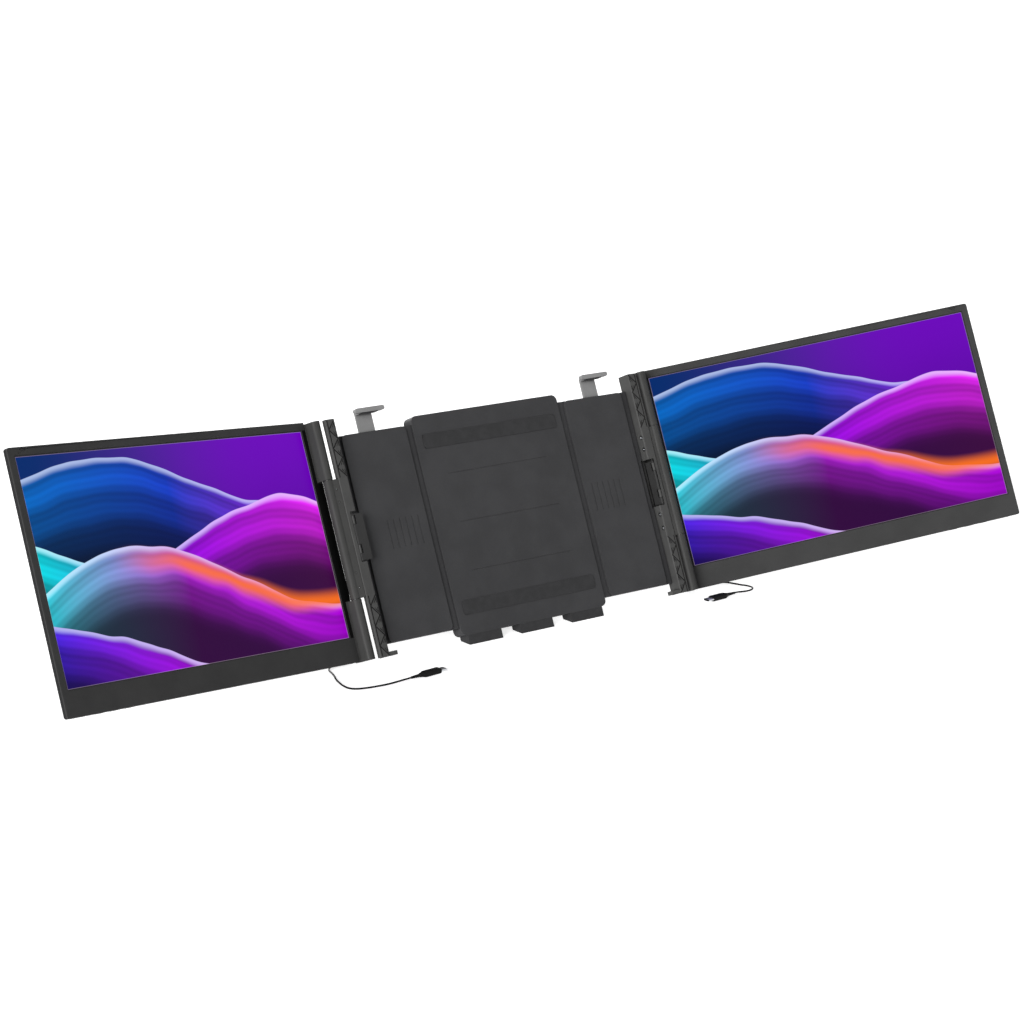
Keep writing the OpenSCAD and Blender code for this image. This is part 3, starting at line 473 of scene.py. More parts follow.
def painted_metal(name, colour):
    """Powder coat on aluminium: fine orange peel, flakes and rubbed edges."""
    f = Finish(name, metallic=0.35, specular_IOR_level=0.5)
    flakes = f.node("ShaderNodeTexVoronoi", {"Vector": f.place, "Scale": 2600.0}).outputs["Color"]
    glint = f.node("ShaderNodeSeparateColor", {"Color": flakes}).outputs[0]
    body = f.mix(1.0, colour, f.span(glint, 0.0, 1.0, 0.8, 1.25), "MULTIPLY")
    body = f.mix(f.span(f.noise(0.02, 3), 0.4, 0.8, 0.0, 0.25), body, 0.05)
    edge_marks = f.math("MULTIPLY", f.edges(0.0004), f.span(f.noise(0.005, 4), 0.4, 0.75, 0.1, 0.8))
    f.set(base_color=f.mix(edge_marks, body, 0.45), roughness=f.span(f.noise(0.006, 3), 0.3, 0.7, 0.36, 0.48))
    f.set(normal=f.bump(f.noise(0.0008, 2), 0.000015, 0.7, f.rounded(0.0003)))
    return f.material


def circuit_board(name):
    """Solder-masked board with copper traces, vias and pale pads."""
    f = Finish(name, specular_IOR_level=0.5)
    tiles = f.node("ShaderNodeTexBrick", {
        "Vector": f.place, "Scale": 260.0, "Mortar Size": 0.06, "Color1": rgba((0.012, 0.10, 0.045)),
        "Color2": rgba((0.010, 0.085, 0.04)), "Mortar": rgba((0.03, 0.17, 0.07))}, offset=0.35).outputs[0]
    holes = f.node("ShaderNodeTexVoronoi", {"Vector": f.place, "Scale": 320.0}).outputs["Distance"]
    rings = f.math("MULTIPLY", f.span(holes, 0.10, 0.13), f.span(holes, 0.22, 0.19))
    f.set(base_color=f.mix(rings, tiles, (0.62, 0.50, 0.25)))
    f.set(roughness=f.span(f.noise(0.004), 0.3, 0.7, 0.25, 0.4))
    f.set(normal=f.bump(rings, 0.00003, 0.6, f.rounded(0.0001)))
    return f.material


def flat_ribbon(name):
    """Amber film with the shadow of its copper lines."""
    f = Finish(name, specular_IOR_level=0.5, coat_weight=0.3)
    lines = f.node("ShaderNodeTexWave", {
        "Vector": f.place, "Scale": 210.0, "Distortion": 0.4}, bands_direction="X").outputs[1]
    body = f.mix(f.span(lines, 0.45, 0.55), (0.46, 0.22, 0.04), (0.30, 0.12, 0.02))
    f.set(base_color=f.mix(1.0, body, f.span(f.noise(0.006, 3), 0.3, 0.7, 0.85, 1.1), "MULTIPLY"))
    f.set(roughness=f.span(f.noise(0.003), 0.3, 0.7, 0.22, 0.34), normal=f.bump(lines, 0.00002, 0.5))
    return f.material


def light_guide(name):
    """White diffuser film with a fine dot pattern and a silver frame tint."""
    f = Finish(name, specular_IOR_level=0.5)
    dots = f.node("ShaderNodeTexVoronoi", {"Vector": f.place, "Scale": 900.0}).outputs["Distance"]
    f.set(base_color=f.mix(f.span(dots, 0.15, 0.3), (0.86, 0.87, 0.9), (0.66, 0.67, 0.7)))
    f.set(roughness=f.span(f.noise(0.005, 2), 0.3, 0.7, 0.35, 0.5), normal=f.bump(dots, 0.00001, 0.5))
    return f.material


def nylon_bush(name, colour):
    """Cast nylon: milky, slightly translucent, with tool marks."""
    f = Finish(name, specular_IOR_level=0.45, subsurface_weight=0.15, subsurface_scale=0.002)
    rings = f.noise(0.0004, 3, f.stretched((0.1, 1.0, 1.0)))
    f.set(base_color=f.mix(1.0, colour, f.span(f.noise(0.005, 3), 0.3, 0.7, 0.9, 1.05), "MULTIPLY"))
    f.set(roughness=f.span(rings, 0.3, 0.7, 0.4, 0.55), normal=f.bump(rings, 0.00001, 0.8, f.rounded(0.0002)))
    return f.material


def jacket(name, colour):
    """Thin flexible cord jacket: extrusion lines and a soft sheen."""
    f = Finish(name, specular_IOR_level=0.12)
    wobble = f.noise(0.0012, 2)
    f.set(base_color=f.mix(1.0, colour, f.span(f.noise(0.01, 3), 0.3, 0.7, 0.8, 1.3), "MULTIPLY"))
    f.set(roughness=f.span(wobble, 0.3, 0.7, 0.38, 0.5), normal=f.bump(wobble, 0.00002, 0.6))
    return f.material


# Width of the screens' picture in heights of it
PICTURE_WIDTH = 1.778
# Ribbons of the picture from back to front: height of the crest's middle, its swing, its turn across in
# radians a height, its start, the height over which light fades, then the colours from left to right
RIBBONS = [
    (0.80, 0.13, 2.2, 0.6, 0.46, ((0.00, 0.18, 0.66), (0.01, 0.06, 0.70), (0.34, 0.00, 0.90))),
    (0.66, 0.20, 1.7, 2.5, 0.42, ((0.00, 0.95, 1.00), (0.04, 0.20, 1.00), (0.50, 0.00, 1.00))),
    (0.50, 0.22, 2.1, 4.3, 0.40, ((0.00, 0.50, 1.00), (0.40, 0.00, 1.00), (0.85, 0.02, 1.00))),
    (0.36, 0.17, 2.6, 0.2, 0.34, ((0.00, 0.90, 1.00), (0.62, 0.02, 0.95), (0.60, 0.00, 1.00))),
    (0.20, 0.14, 1.9, 1.9, 0.34, ((0.05, 0.02, 0.85), (0.50, 0.00, 0.90), (0.50, 0.00, 1.00))),
]


def ribbon_picture(f, across, height):
    """Overlapping folded ribbons of light over a deep blue ground and one warm streak, as a colour."""
    ground = f.mix(f.span(across, 0.1, 1.6), (0.000, 0.024, 0.150), (0.150, 0.000, 0.500))
    picture = f.mix(f.span(height, 1.1, 0.1, 0.0, 0.7), ground, (0.004, 0.000, 0.060))
    share = f.math("DIVIDE", across, PICTURE_WIDTH)
    for middle, swing, waves, start, fade, (first, second, third) in RIBBONS:
        angle = f.math("MULTIPLY_ADD", across, waves, start)
        twist = f.math("SINE", f.math("MULTIPLY_ADD", across, waves * 0.53, start * 1.7))
        crest = f.math("ADD", f.math("MULTIPLY_ADD", f.math("SINE", angle), swing, middle),
                       f.math("MULTIPLY", twist, swing * 0.55))
        below = f.math("SUBTRACT", crest, height)
        inside = f.span(below, -0.002, 0.003)
        folds = f.math("SINE", f.math("MULTIPLY_ADD", below, 46.0, f.math("MULTIPLY", twist, 3.4)))
        threads = f.math("SINE", f.math("MULTIPLY_ADD", below, 210.0, f.math("MULTIPLY", twist, 9.0)))
        silk = f.math("MULTIPLY_ADD", threads, 0.06, f.math("MULTIPLY_ADD", folds, 0.20, 0.74))
        fall = f.math("POWER", f.span(below, fade, 0.0), 1.3)
        light = f.math("MULTIPLY_ADD", f.math("MULTIPLY", fall, silk), 0.95, 0.05)
        tint = f.ramp(share, (0.0, first), (0.5, second), (1.0, third))
        picture = f.mix(inside, picture, f.mix(1.0, tint, light, "MULTIPLY"))
        rim = f.math("MULTIPLY", f.span(below, -0.002, 0.001), f.span(below, 0.034, 0.003))
        picture = f.mix(f.math("MULTIPLY", rim, 0.85), picture, f.mix(0.55, tint, (0.85, 0.92, 1.0)))
    streak = f.math("MULTIPLY_ADD", f.math("SINE", f.math("MULTIPLY_ADD", across, 2.6, 0.2)), 0.16, 0.40)
    beside = f.math("ABSOLUTE", f.math("SUBTRACT", streak, height))
    glow = f.math("MULTIPLY", f.span(beside, 0.07, 0.0), f.span(across, 0.45, 0.95))
    return f.mix(f.math("MULTIPLY", glow, 0.9), picture, (1.0, 0.17, 0.01))


def lit_screen(name, wing):
    """Screen skin: black glass-like film with the glowing picture inside the lit area."""
    s = sizes()
    corner, axes = wing.picture_axes()
    f = Finish(name, base_color=rgba(0.001), specular_IOR_level=0.03)
    local = f.node("ShaderNodeMapping", {
        "Vector": f.place, "Location": corner, "Rotation": axes.to_euler(),
        "Scale": (s.screen_height, s.screen_height, s.screen_height)}, vector_type="TEXTURE")
    parts = f.node("ShaderNodeSeparateXYZ", {0: local.outputs[0]})
    x, y, out = parts.outputs
    aspect = s.screen_width / s.screen_height
    inset = f.math("MINIMUM", f.math("MINIMUM", x, f.math("SUBTRACT", aspect, x)),
                   f.math("MINIMUM", y, f.math("SUBTRACT", 1.0, y)))
    margin = s.gasket / s.screen_height
    drift = f.noise(0.55, 2, local.outputs[0])
    bent_x, bent_y = f.math("MULTIPLY_ADD", drift, 0.12, x), f.math("MULTIPLY_ADD", drift, 0.10, y)
    picture = ribbon_picture(f, bent_x, bent_y)
    # Painted highlight: a pale line along the glass's edge, just inside the gasket.
    painted_edge_highlight = f.math("MULTIPLY", f.span(inset, margin + 0.0022, margin + 0.0014), 0.35)
    picture = f.mix(painted_edge_highlight, picture, (0.62, 0.45, 0.62))
    front = f.math("GREATER_THAN", out, -0.0004)
    lit = f.math("MULTIPLY", f.math("GREATER_THAN", inset, margin * 0.5), front)
    f.set(emission_color=f.mix(lit, 0.0, picture), emission_strength=f.span(seen(f), 0.0, 1.0, 0.25, 1.0))
    f.set(roughness=f.span(f.noise(0.02, 3), 0.3, 0.7, 0.24, 0.30))
    f.set(normal=f.bump(f.noise(0.0006), 0.000002, 0.5))
    return f.material


# ---- pieces ----

def soft_shading():
    """Geometry node group that shades faces smooth and keeps edges over SHARP_ANGLE sharp."""
    known = bpy.data.node_groups.get("soft_shading")
    if known:
        return known
    group = bpy.data.node_groups.new("soft_shading", "GeometryNodeTree")
    group.interface.new_socket("Geometry", in_out="INPUT", socket_type="NodeSocketGeometry")
    group.interface.new_socket("Geometry", in_out="OUTPUT", socket_type="NodeSocketGeometry")
    make, link = group.nodes.new, group.links.new
    start, end = make("NodeGroupInput"), make("NodeGroupOutput")
    plain = make("GeometryNodeRemoveAttribute")
    smooth, sharp = make("GeometryNodeSetShadeSmooth"), make("GeometryNodeSetShadeSmooth")
    angle, test = make("GeometryNodeInputMeshEdgeAngle"), make("FunctionNodeCompare")
    plain.inputs["Name"].default_value = "custom_normal"
    smooth.domain, sharp.domain = "FACE", "EDGE"
    sharp.inputs["Shade Smooth"].default_value = False
    test.data_type, test.operation = "FLOAT", "GREATER_THAN"
    test.inputs[1].default_value = radians(SHARP_ANGLE)
    link(start.outputs[0], plain.inputs[0])
    link(plain.outputs[0], smooth.inputs[0])
    link(smooth.outputs[0], sharp.inputs[0])
    link(angle.outputs[0], test.inputs[0])
    link(test.outputs[0], sharp.inputs["Selection"])
    link(sharp.outputs[0], end.inputs[0])
    return group


def finish_shape(piece, rounding=0.0, segments=2):
    """Joins split corners, rounds the edges and shades the faces as the part's surfaces run."""
    weld = piece.modifiers.new("joined_corners", "WELD")
    weld.merge_threshold = 0.00001
    if rounding:
        bevel = piece.modifiers.new("rounded_edges", "BEVEL")
        bevel.width = rounding
        bevel.segments = segments
        bevel.limit_method = "ANGLE"
        bevel.angle_limit = radians(ROUNDED_ANGLE)
        bevel.use_clamp_overlap = False
    piece.modifiers.new("soft_shading", "NODES").node_group = soft_shading()
    even = piece.modifiers.new("even_normals", "WEIGHTED_NORMAL")
    even.keep_sharp = True


def dress(names, material, rounding=0.0, segments=2):
    """Gives CAD nodes their material and rounded edges."""
    for name in names:
        node = NODES[name]
        for index in range(len(node.material_slots)):
            node.material_slots[index].material = material
        finish_shape(node, rounding, segments)


def new_piece(name, shape, body, slot, *materials, smooth=True):
    """A mesh object from a bmesh that rides on a body; the slot argument is not used."""
    bmesh.ops.recalc_face_normals(shape, faces=shape.faces)
    mesh = bpy.data.meshes.new(name)
    shape.to_mesh(mesh)
    shape.free()
    for material in materials:
        mesh.materials.append(material)
    if smooth:
        mesh.shade_smooth()
    piece = bpy.data.objects.new(name, mesh)
    bpy.context.scene.collection.objects.link(piece)
    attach(piece, body)
    return piece


def skin(shape, rings, closed=False, material=0):
    """Faces between rings of points, and caps on the first and last ring unless closed."""
    loops = [[shape.verts.new(point) for point in ring] for ring in rings]
    count = len(loops[0])
    pairs = list(zip(loops, loops[1:] + loops[:1])) if closed else list(zip(loops, loops[1:]))
    for near, far in pairs:
        for k in range(count):
            face = shape.faces.new((near[k], near[(k + 1) % count], far[(k + 1) % count], far[k]))
            face.material_index = material
    if not closed:
        for loop in (loops[0], loops[-1]):
            shape.faces.new(loop).material_index = material
    return loops


def section(centre, side, lift, half_w, half_h, power=2.0, count=28):
    """Ring of points round centre: power 2 makes an ellipse, and a higher one a box with round corners."""
    ring = []
    for k in range(count):
        angle = 2 * pi * (k + 0.5) / count
        c, s = cos(angle), sin(angle)
        x = abs(c) ** (2 / power) * (1 if c > 0 else -1)
        y = abs(s) ** (2 / power) * (1 if s > 0 else -1)
        ring.append(centre + half_w * x * side + half_h * y * lift)
    return ring


def loft(shape, start, run, side, lift, stations, material=0):
    """Closed body along run through stations of (distance, half width, half height, power)."""
    rings = [section(start + distance * run, side, lift, w, h, power) for distance, w, h, power in stations]
    skin(shape, rings, material=material)


def smooth_route(points, cuts):
    """Points of a smooth curve through every point, with cuts steps from one to the next."""
    path = []
    last = len(points) - 1
    for i in range(last):
        a, b, c, d = points[max(i - 1, 0)], points[i], points[i + 1], points[min(i + 2, last)]
        for k in range(cuts):
            t = k / cuts
            path.append(0.5 * ((2 * b) + (c - a) * t + (2 * a - 5 * b + 4 * c - d) * t * t
                               + (3 * b - a - 3 * c + d) * t ** 3))
    return path + [points[last]]


def swept(shape, points, radius, sides=14):
    """Round tube along points, with caps."""
    rings, side = [], Vector((1, 0, 0))
    for i, point in enumerate(points):
        run = (points[min(i + 1, len(points) - 1)] - points[max(i - 1, 0)]).normalized()
        side = (side - run * side.dot(run)).normalized()
        rings.append(section(point, side, run.cross(side), radius, radius, 2.0, sides))
    skin(shape, rings)


class MakeCamera(bpy.types.Operator):
    """Place the camera in front and to the left of the extender, looking slightly down"""

    bl_idname = "extender.camera"
    bl_label = "Camera"

    def execute(self, context):
        around, down = radians(CAMERA_AROUND), radians(CAMERA_DOWN)
        away = Vector((sin(around) * cos(down), -cos(around) * cos(down), sin(down)))
        data = bpy.data.cameras.new("camera")
        data.lens, data.sensor_width = CAMERA_LENS, SENSOR_WIDTH
        data.shift_x, data.shift_y = CAMERA_SHIFT
        camera = bpy.data.objects.new("camera", data)
        camera.location = CAMERA_PLACE
        camera.rotation_euler = (-away).to_track_quat("-Z", "Y").to_euler()
        context.scene.collection.objects.link(camera)
        context.scene.camera = camera
        return {"FINISHED"}


def side_plug_axis(wing, height):
    """Point on the side plug's upright axis, height millimetres above the frame's zero."""
    return wing.at((SIDE_PLUG_NEAR + SIDE_PLUG_FAR) / 2 * MM, SIDE_PLUG_BACK * MM, height * MM)


def desk_heading(side):
    """Direction in which the desk plug points."""
    turn = radians(DESK_PLUGS[side][1])
    return Vector((cos(turn), sin(turn), 0))


def side_plug_shape(shape, wing):
    """Angled plug in the wing's side port, with its ribbed relief pointing down."""
    start = side_plug_axis(wing, SIDE_PLUG_TOP)
    height = (SIDE_PLUG_TOP - SIDE_PLUG_FOOT) * MM
    half_u, half_w = (SIDE_PLUG_FAR - SIDE_PLUG_NEAR) / 2 * MM, SIDE_PLUG_HALF * MM
    loft(shape, start, -wing.up, wing.u, wing.w, [
        (0.0, half_u * 0.80, half_w * 0.70, 4.0), (0.25 * MM, half_u * 0.93, half_w * 0.88, 5.0),
        (0.9 * MM, half_u, half_w, 6.0), (height - 1.6 * MM, half_u, half_w, 6.0),
        (height - 0.5 * MM, half_u * 0.90, half_w * 0.90, 5.0), (height, half_u * 0.55, half_w * 0.75, 3.0)])
    first_rib = height - 0.3 * MM
    loft(shape, start, -wing.up, wing.u, wing.w, [
        (first_rib + k * RIB_STEP * MM, radius * MM, radius * MM, 2.0) for k, radius in enumerate(RIB_RADII)])
    metal_start = wing.at(SIDE_METAL_NEAR * MM, SIDE_PLUG_BACK * MM, SIDE_METAL_HEIGHT * MM)
    reach = (SIDE_METAL_FAR - SIDE_METAL_NEAR) * MM
    thick, tall = METAL_HALF_HEIGHT * MM, METAL_HALF_WIDTH * MM
    loft(shape, metal_start, wing.u, wing.w, wing.up, [
        (0.0, thick, tall, 3.0), (reach - 0.3 * MM, thick, tall, 3.0),
        (reach, thick - 0.2 * MM, tall - 0.2 * MM, 3.0)], material=1)


def desk_plug_shape(shape, side):
    """Straight plug on the desk: ribbed relief, rounded grip, and the metal shell with its mouth."""
    s = sizes()
    start = Vector(DESK_PLUGS[side][0]) * MM
    run, lift = desk_heading(side), Vector((0, 0, 1))
    across = lift.cross(run)
    relief = []
    steps, thin, thick, groove = 9, 1.25 * MM, 1.8 * MM, 0.88
    for k in range(steps + 1):
        radius = (thin + (thick - thin) * k / steps) * (1.0 if k % 2 else groove)
        relief.append((s.relief * k / steps * 1.03, radius, radius, 2.0))
    loft(shape, start, run, across, lift, relief)
    half_w, half_h = s.plug_width / 2, s.plug_height / 2
    grip = start + s.relief * run
    loft(shape, grip, run, across, lift, [
        (0.0, half_w * 0.42, half_h * 0.62, 2.4), (0.6 * MM, half_w * 0.52, half_h * 0.76, 2.6),
        (2.6 * MM, half_w * 0.60, half_h * 0.80, 2.8), (4.0 * MM, half_w * 0.82, half_h * 0.93, 3.2),
        (5.6 * MM, half_w * 0.97, half_h, 3.8), (7.0 * MM, half_w, half_h, 4.2),
        (s.plug_length - 1.6 * MM, half_w, half_h, 4.2),
        (s.plug_length - 0.5 * MM, half_w * 0.98, half_h * 0.97, 4.0),
        (s.plug_length, half_w * 0.90, half_h * 0.86, 3.6)])
    nose = grip + s.plug_length * run
    wide, tall = METAL_HALF_WIDTH * MM, METAL_HALF_HEIGHT * MM
    loft(shape, nose, run, across, lift, [
        (-0.3 * MM, wide, tall, 3.0), (s.tongue - 0.25 * MM, wide, tall, 3.0),
        (s.tongue, wide * 0.97, tall * 0.90, 3.0), (s.tongue - 0.1 * MM, wide * 0.93, tall * 0.78, 3.0),
        (s.tongue - 4.5 * MM, wide * 0.91, tall * 0.74, 3.0)], material=1)
    loft(shape, nose, run, across, lift, [
        (s.tongue - 4.6 * MM, 3.2 * MM, 0.34 * MM, 5.0), (s.tongue - 0.7 * MM, 3.2 * MM, 0.34 * MM, 5.0),
        (s.tongue - 0.5 * MM, 3.0 * MM, 0.26 * MM, 5.0)])


class MakeCords(bpy.types.Operator):
    """Lay both cords on the desk, each from its wing's side plug to its desk plug"""

    bl_idname = "extender.cords"
    bl_label = "Cords and Plugs"

    def execute(self, context):
        s = sizes()
        rubber = jacket("cord_jacket", colours().cord)
        # Plug grip: faint painted shade in corners, and lighter edges of real wear and painted highlight.
        grip = moulded("plug_grip", colours().cord, roughness=0.46, grain=0.0004, edge=0.03, crevice_shade=0.2)
        metal = brushed_steel("plug_metal", colours().steel)
        for side in SIDES:
            wing = Wing(side)
            exits = [side_plug_axis(wing, height) for height in (SIDE_PLUG_FOOT, CORD_TURN)]
            end = Vector(DESK_PLUGS[side][0])
            ends = [(end - STRAIGHT_END * desk_heading(side)) * MM, end * MM]
            route = exits + [Vector(point) * MM for point in CORD_ROUTES[side]] + ends
            path = smooth_route(route, 6)
            shape = bmesh.new()
            swept(shape, path, s.cord / 2)
            cord = new_piece(f"cord_tube_{side}", shape, f"wing_{side}", "cord", rubber)
            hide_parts(f"cord_{side}")
            shape = bmesh.new()
            side_plug_shape(shape, wing)
            desk_plug_shape(shape, side)
            plugs = new_piece(f"cord_plug_pair_{side}", shape, f"wing_{side}", "cord", grip, metal)
            finish_shape(plugs)
            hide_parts(f"cord_plugs_{side}")
            length = sum((b - a).length for a, b in zip(path, path[1:]))
            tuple(path[0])
        return {"FINISHED"}


class DressFrame(bpy.types.Operator):
    """Finish the centre frame: shells, lid pads, screws, rails and foot pads"""

    bl_idname = "extender.centre_frame"
    bl_label = "Centre Frame"

    def execute(self, context):
        c = colours()
        dress(["centre_back_shell", "centre_front_plate"], moulded("frame_plastic", c.core, grain=0.0006))
        dress(["lid_pads"], soft_rubber("lid_pad_rubber", c.rubber), 0.0003)
        dress(["foot_pads"], soft_rubber("foot_pad_rubber", c.rubber, grain=0.0009), 0.0003)
        steel = brushed_steel("frame_steel", c.steel)
        dress(["centre_screws", "kickstand_pin"], steel, 0.00012)
        dress(["guide_rails"], brushed_steel("rail_steel", c.steel, (0.06, 1.0, 1.0), 0.22), 0.00015)
        return {"FINISHED"}


class DressKickstand(bpy.types.Operator):
    """Finish the kickstand's leg and its rubber foot"""

    bl_idname = "extender.kickstand"
    bl_label = "Kickstand"

    def execute(self, context):
        c = colours()
        dress(["kickstand_leg"], painted_metal("kickstand_paint", c.leg))
        dress(["kickstand_foot"], soft_rubber("kickstand_rubber", c.rubber, grain=0.0008), 0.0004)
        return {"FINISHED"}


class DressArms(bpy.types.Operator):
    """Finish the sliding arms, their bushes, columns and screws"""

    bl_idname = "extender.arms"
    bl_label = "Sliding Arms and Columns"

    def execute(self, context):
        c = colours()
        dress(both("arm_frame", "arm_cover"), moulded("arm_plastic", c.core, grain=0.0006))
        dress(both("rail_bushes"), nylon_bush("bush_nylon", c.nylon), 0.0002)
        dress(both("column"), engraved("column_plastic", c.column))
        dress(both("column_screws"), brushed_steel("column_screw_steel", c.steel), 0.0001)
        return {"FINISHED"}


def shade_block_shape(at, slots):
    """Black blocks of painted shade between the corners of slots, in the axes of the call at."""
    shape = bmesh.new()
    for low, high in slots:
        x0, y0, z0 = (n * MM for n in low)
        x1, y1, z1 = (n * MM for n in high)
        skin(shape, [[at(x, y, z) for x, y in ((x0, y0), (x1, y0), (x1, y1), (x0, y1))] for z in (z0, z1)])
    return shape


class DressHinges(bpy.types.Operator):
    """Finish the hinge blocks, leaves, pins and washers, and fill the slots beside them with black blocks of
    painted shade
    """

    bl_idname = "extender.hinges"
    bl_label = "Hinges"

    def execute(self, context):
        c = colours()
        # Hinge plastic: strong painted shade in corners, and dark painted shade on the edges with a little
        # real wear.
        barrel = moulded("hinge_plastic", c.hinge, 0.45, 0.0005, edge_wear_and_shading=0.9, edge=0.006, rim=0.0007,
                         crevice_shade=0.9, reach=0.005)
        dress(both("hinge_block", "hinge_leaves"), barrel)
        dress(both("hinge_pins"), brushed_steel("pin_steel", c.steel), 0.00015)
        dress(both("hinge_washers"), brushed_steel("washer_steel", c.washer, (1.0, 1.0, 1.0), 0.5), 0.00008)
        # Painted shade: near-black blocks in the slits beside the hinge leaves and in the side clips'
        # recesses.
        shade_black = soft_rubber("gap_shade_black", (0.004, 0.004, 0.004), 0.0005, 0.8)
        for side in SIDES:
            lips, recess = shade_block_shape(Wing(side).at, LIP_SLOTS), shade_block_shape(column_axes(side), CLIP_SLOTS)
            new_piece(f"lip_gap_shade_{side}", lips, f"wing_{side}", "rubber", shade_black, smooth=False)
            new_piece(f"clip_recess_shade_{side}", recess, f"arm_{side}", "rubber", shade_black, smooth=False)
        return {"FINISHED"}


class DressClips(bpy.types.Operator):
    """Finish the side clips, the top clips and the top clips' pads"""

    bl_idname = "extender.clips"
    bl_label = "Lid Clips"

    def execute(self, context):
        c = colours()
        # Side clips: painted shade in corners and on their dark edges. Top clips: painted shade in corners
        # and painted highlight on their light edges.
        side_clip = moulded("side_clip_plastic", c.clip, 0.42, 0.0004, edge=0.01, edge_wear_and_shading=0.6, crevice_shade=0.8)
        top_clip = moulded("top_clip_plastic", c.top_clip, 0.42, 0.0004, edge=0.40, crevice_shade=0.8)
        dress(both("side_clip"), side_clip)
        dress(both("top_clip"), top_clip)
        dress(both("top_clip_pad"), soft_rubber("clip_pad_rubber", c.rubber), 0.0003)
        return {"FINISHED"}


class DressCovers(bpy.types.Operator):
    """Finish each wing's front bezel, rear cover and cover screws"""

    bl_idname = "extender.covers"
    bl_label = "Bezels and Rear Covers"

    def execute(self, context):
        c, s = colours(), sizes()
        for side in SIDES:
            # Bezel: dark painted shade on its edges, and a band of black painted shade beside the hinge.
            bezel = moulded(f"bezel_plastic_{side}", c.bezel, edge_wear_and_shading=0.95, edge=0.004, rim=0.0009,
                            shade_band=hinge_shade_band(Wing(side)))
            dress([f"front_bezel_{side}"], bezel, s.edge_round)
        dress(both("rear_cover"), moulded("rear_plastic", c.rear, grain=0.0006, depth=0.00003), s.edge_round)
        dress(both("cover_screws"), brushed_steel("cover_screw_steel", c.steel), 0.0001)
        return {"FINISHED"}


def gasket_shape(wing):
    """Closed strip round the lit area, through points of an inset from its edge and a depth."""
    s = sizes()
    near, far = s.hinge_to_screen, s.hinge_to_screen + s.screen_width
    low = s.wing_bottom + s.chin
    high = low + s.screen_height
    rings = []
    for inset, depth in ((0.02 * MM, 0.98 * MM), (0.02 * MM, 0.62 * MM), (s.gasket * 0.45, 0.56 * MM),
                         (s.gasket * 0.85, 0.70 * MM), (s.gasket, 0.98 * MM)):
        rings.append([wing.at(u, depth, z) for u, z in (
            (near + inset, low + inset), (far - inset, low + inset),
            (far - inset, high - inset), (near + inset, high - inset))])
    shape = bmesh.new()
    skin(shape, rings, closed=True)
    return shape


class DressScreens(bpy.types.Operator):
    """Light the screens with a picture of ribbons and seal them with black gaskets"""

    bl_idname = "extender.screens"
    bl_label = "Screens"

    def execute(self, context):
        black = soft_rubber("gasket_rubber", (0.004, 0.004, 0.005), 0.0004, 0.6)
        for side in SIDES:
            wing = Wing(side)
            dress([f"display_panel_{side}"], lit_screen(f"screen_picture_{side}", wing))
            gasket = gasket_shape(wing)
            new_piece(f"screen_gasket_{side}", gasket, f"wing_{side}", "rubber", black, smooth=False)
        return {"FINISHED"}


class DressInsides(bpy.types.Operator):
    """Finish what the covers hide: backlights, boards, sockets and ribbons"""

    bl_idname = "extender.insides"
    bl_label = "Electronics"

    def execute(self, context):
        c = colours()
        dress(both("backlight"), light_guide("backlight_film"))
        dress(both("main_board"), circuit_board("board_mask"), 0.00008, 1)
        dress(both("flex_cable"), flat_ribbon("ribbon_film"))
        dress(both("port_sockets"), brushed_steel("socket_steel", c.steel, (1.0, 0.1, 1.0), 0.26), 0.00008)
        return {"FINISHED"}


class DressButtons(bpy.types.Operator):
    """Finish the power, plus and minus buttons under each wing"""

    bl_idname = "extender.buttons"
    bl_label = "Buttons"

    def execute(self, context):
        # Buttons: lighter edges of real wear and painted highlight, and painted shade in corners.
        plastic = moulded("button_plastic", colours().button, roughness=0.38, grain=0.0003, edge_wear_and_shading=0.6)
        dress(both("button_power", "button_plus", "button_minus"), plastic, 0.0002)
        return {"FINISHED"}


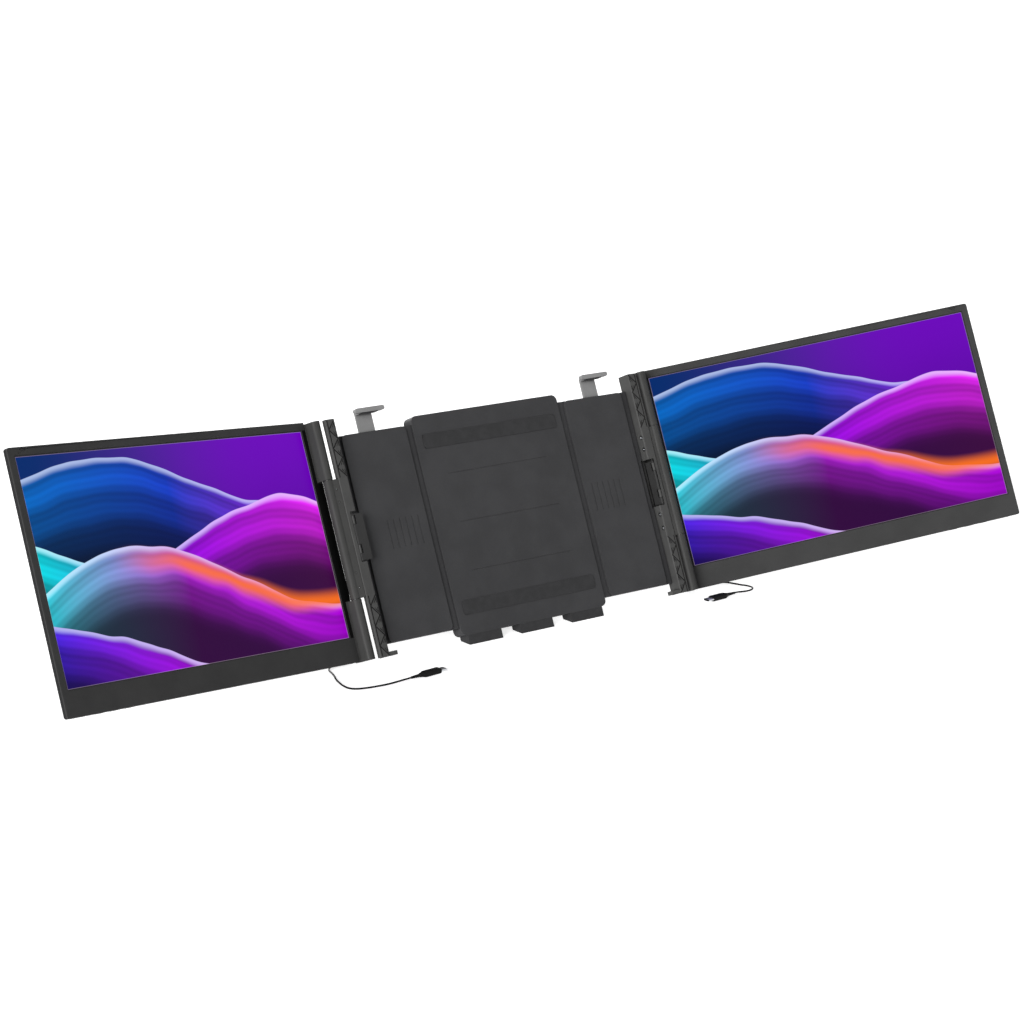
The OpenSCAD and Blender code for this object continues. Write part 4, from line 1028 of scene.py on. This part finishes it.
class MakeStage(bpy.types.Operator):
    """Lay the pale floor and set the soft studio light"""

    bl_idname = "extender.stage"
    bl_label = "Stage and Light"

    def execute(self, context):
        self.floor()
        self.world(context)
        for name, direction, strength, spread in LAMPS:
            data = bpy.data.lights.new(name, "SUN")
            data.energy, data.angle = strength, radians(spread)
            lamp = bpy.data.objects.new(name, data)
            lamp.rotation_euler = Vector(direction).to_track_quat("Z", "Y").to_euler()
            context.scene.collection.objects.link(lamp)
        context.scene.view_settings.view_transform = "Standard"
        return {"FINISHED"}

    def floor(self):
        """Wide floor disc at the height of the feet, white to the camera and grey in the shade."""
        f = Finish("floor_paint", base_color=rgba(colours().floor), roughness=0.9, specular_IOR_level=0.1)
        f.set(emission_color=rgba(1.0))
        f.set(emission_strength=f.math("MULTIPLY", seen(f), FLOOR_GLOW))
        shape = bmesh.new()
        low = CAD_BOX[0][2]
        angles = [2 * pi * k / FLOOR_SIDES for k in range(FLOOR_SIDES)]
        loops = [[shape.verts.new((r * cos(angle), r * sin(angle), low)) for angle in angles]
                 for r in FLOOR_RADII]
        shape.faces.new(loops[0])
        for near, far in zip(loops, loops[1:]):
            for k in range(FLOOR_SIDES):
                after = (k + 1) % FLOOR_SIDES
                shape.faces.new((near[k], near[after], far[after], far[k]))
        bmesh.ops.recalc_face_normals(shape, faces=shape.faces)
        mesh = bpy.data.meshes.new("floor")
        shape.to_mesh(mesh)
        shape.free()
        mesh.materials.append(f.material)
        floor = bpy.data.objects.new("floor", mesh)
        bpy.context.scene.collection.objects.link(floor)

    def world(self, context):
        """White surroundings to look at, and an even low level of light from them."""
        world = bpy.data.worlds.new("studio")
        world.use_nodes = True
        context.scene.world = world
        nodes, link = world.node_tree.nodes, world.node_tree.links.new
        back = nodes["Background"]
        back.inputs["Color"].default_value = (1, 1, 1, 1)
        path = nodes.new("ShaderNodeLightPath").outputs
        shown = path[SEEN_RAYS[0]]
        for ray in SEEN_RAYS[1:]:
            most = nodes.new("ShaderNodeMath")
            most.operation = "MAXIMUM"
            link(shown, most.inputs[0])
            link(path[ray], most.inputs[1])
            shown = most.outputs[0]
        level = nodes.new("ShaderNodeMapRange")
        level.inputs["To Min"].default_value = WORLD_LIGHT
        level.inputs["To Max"].default_value = 1.0
        link(shown, level.inputs["Value"])
        link(level.outputs[0], back.inputs["Strength"])


def seen(f):
    """1 for rays from the camera, in a reflection or through glass, and 0 for the rest."""
    path = f.node("ShaderNodeLightPath").outputs
    camera, glossy, through = (path[ray] for ray in SEEN_RAYS)
    return f.math("MAXIMUM", f.math("MAXIMUM", camera, glossy), through)


class ExtenderPanel(bpy.types.Panel):
    """Sidebar panel with the extender's sizes, colours and steps"""

    bl_idname = "VIEW3D_PT_extender"
    bl_label = "Laptop Screen Extender"
    bl_space_type = "VIEW_3D"
    bl_region_type = "UI"
    bl_category = "Extender"

    def draw(self, context):
        for title, group in (("Sizes", sizes()), ("Colours", colours())):
            box = self.layout.box()
            box.label(text=title)
            for name in group.__annotations__:
                box.prop(group, name)
        steps = self.layout.column()
        for step in STEPS:
            steps.operator(step.bl_idname)


STEPS = (
    MakeCamera, MakeCords, DressFrame, DressKickstand, DressArms, DressHinges, DressClips,
    DressCovers, DressScreens, DressInsides, DressButtons, MakeStage,
)
CLASSES = (ExtenderSizes, ExtenderColours, *STEPS, ExtenderPanel)


def register():
    """Adds the classes and the scene's sizes and colours."""
    for cls in CLASSES:
        bpy.utils.register_class(cls)
    bpy.types.Scene.extender_sizes = bpy.props.PointerProperty(type=ExtenderSizes)
    bpy.types.Scene.extender_colours = bpy.props.PointerProperty(type=ExtenderColours)


def unregister():
    """Takes the classes and the scene's sizes and colours away."""
    del bpy.types.Scene.extender_sizes
    del bpy.types.Scene.extender_colours
    for cls in reversed(CLASSES):
        bpy.utils.unregister_class(cls)


def main():
    """Runs every step in order."""
    register()
    for step in STEPS:
        group, name = step.bl_idname.split(".")
        getattr(getattr(bpy.ops, group), name)()


if __name__ == "__main__":
    main()
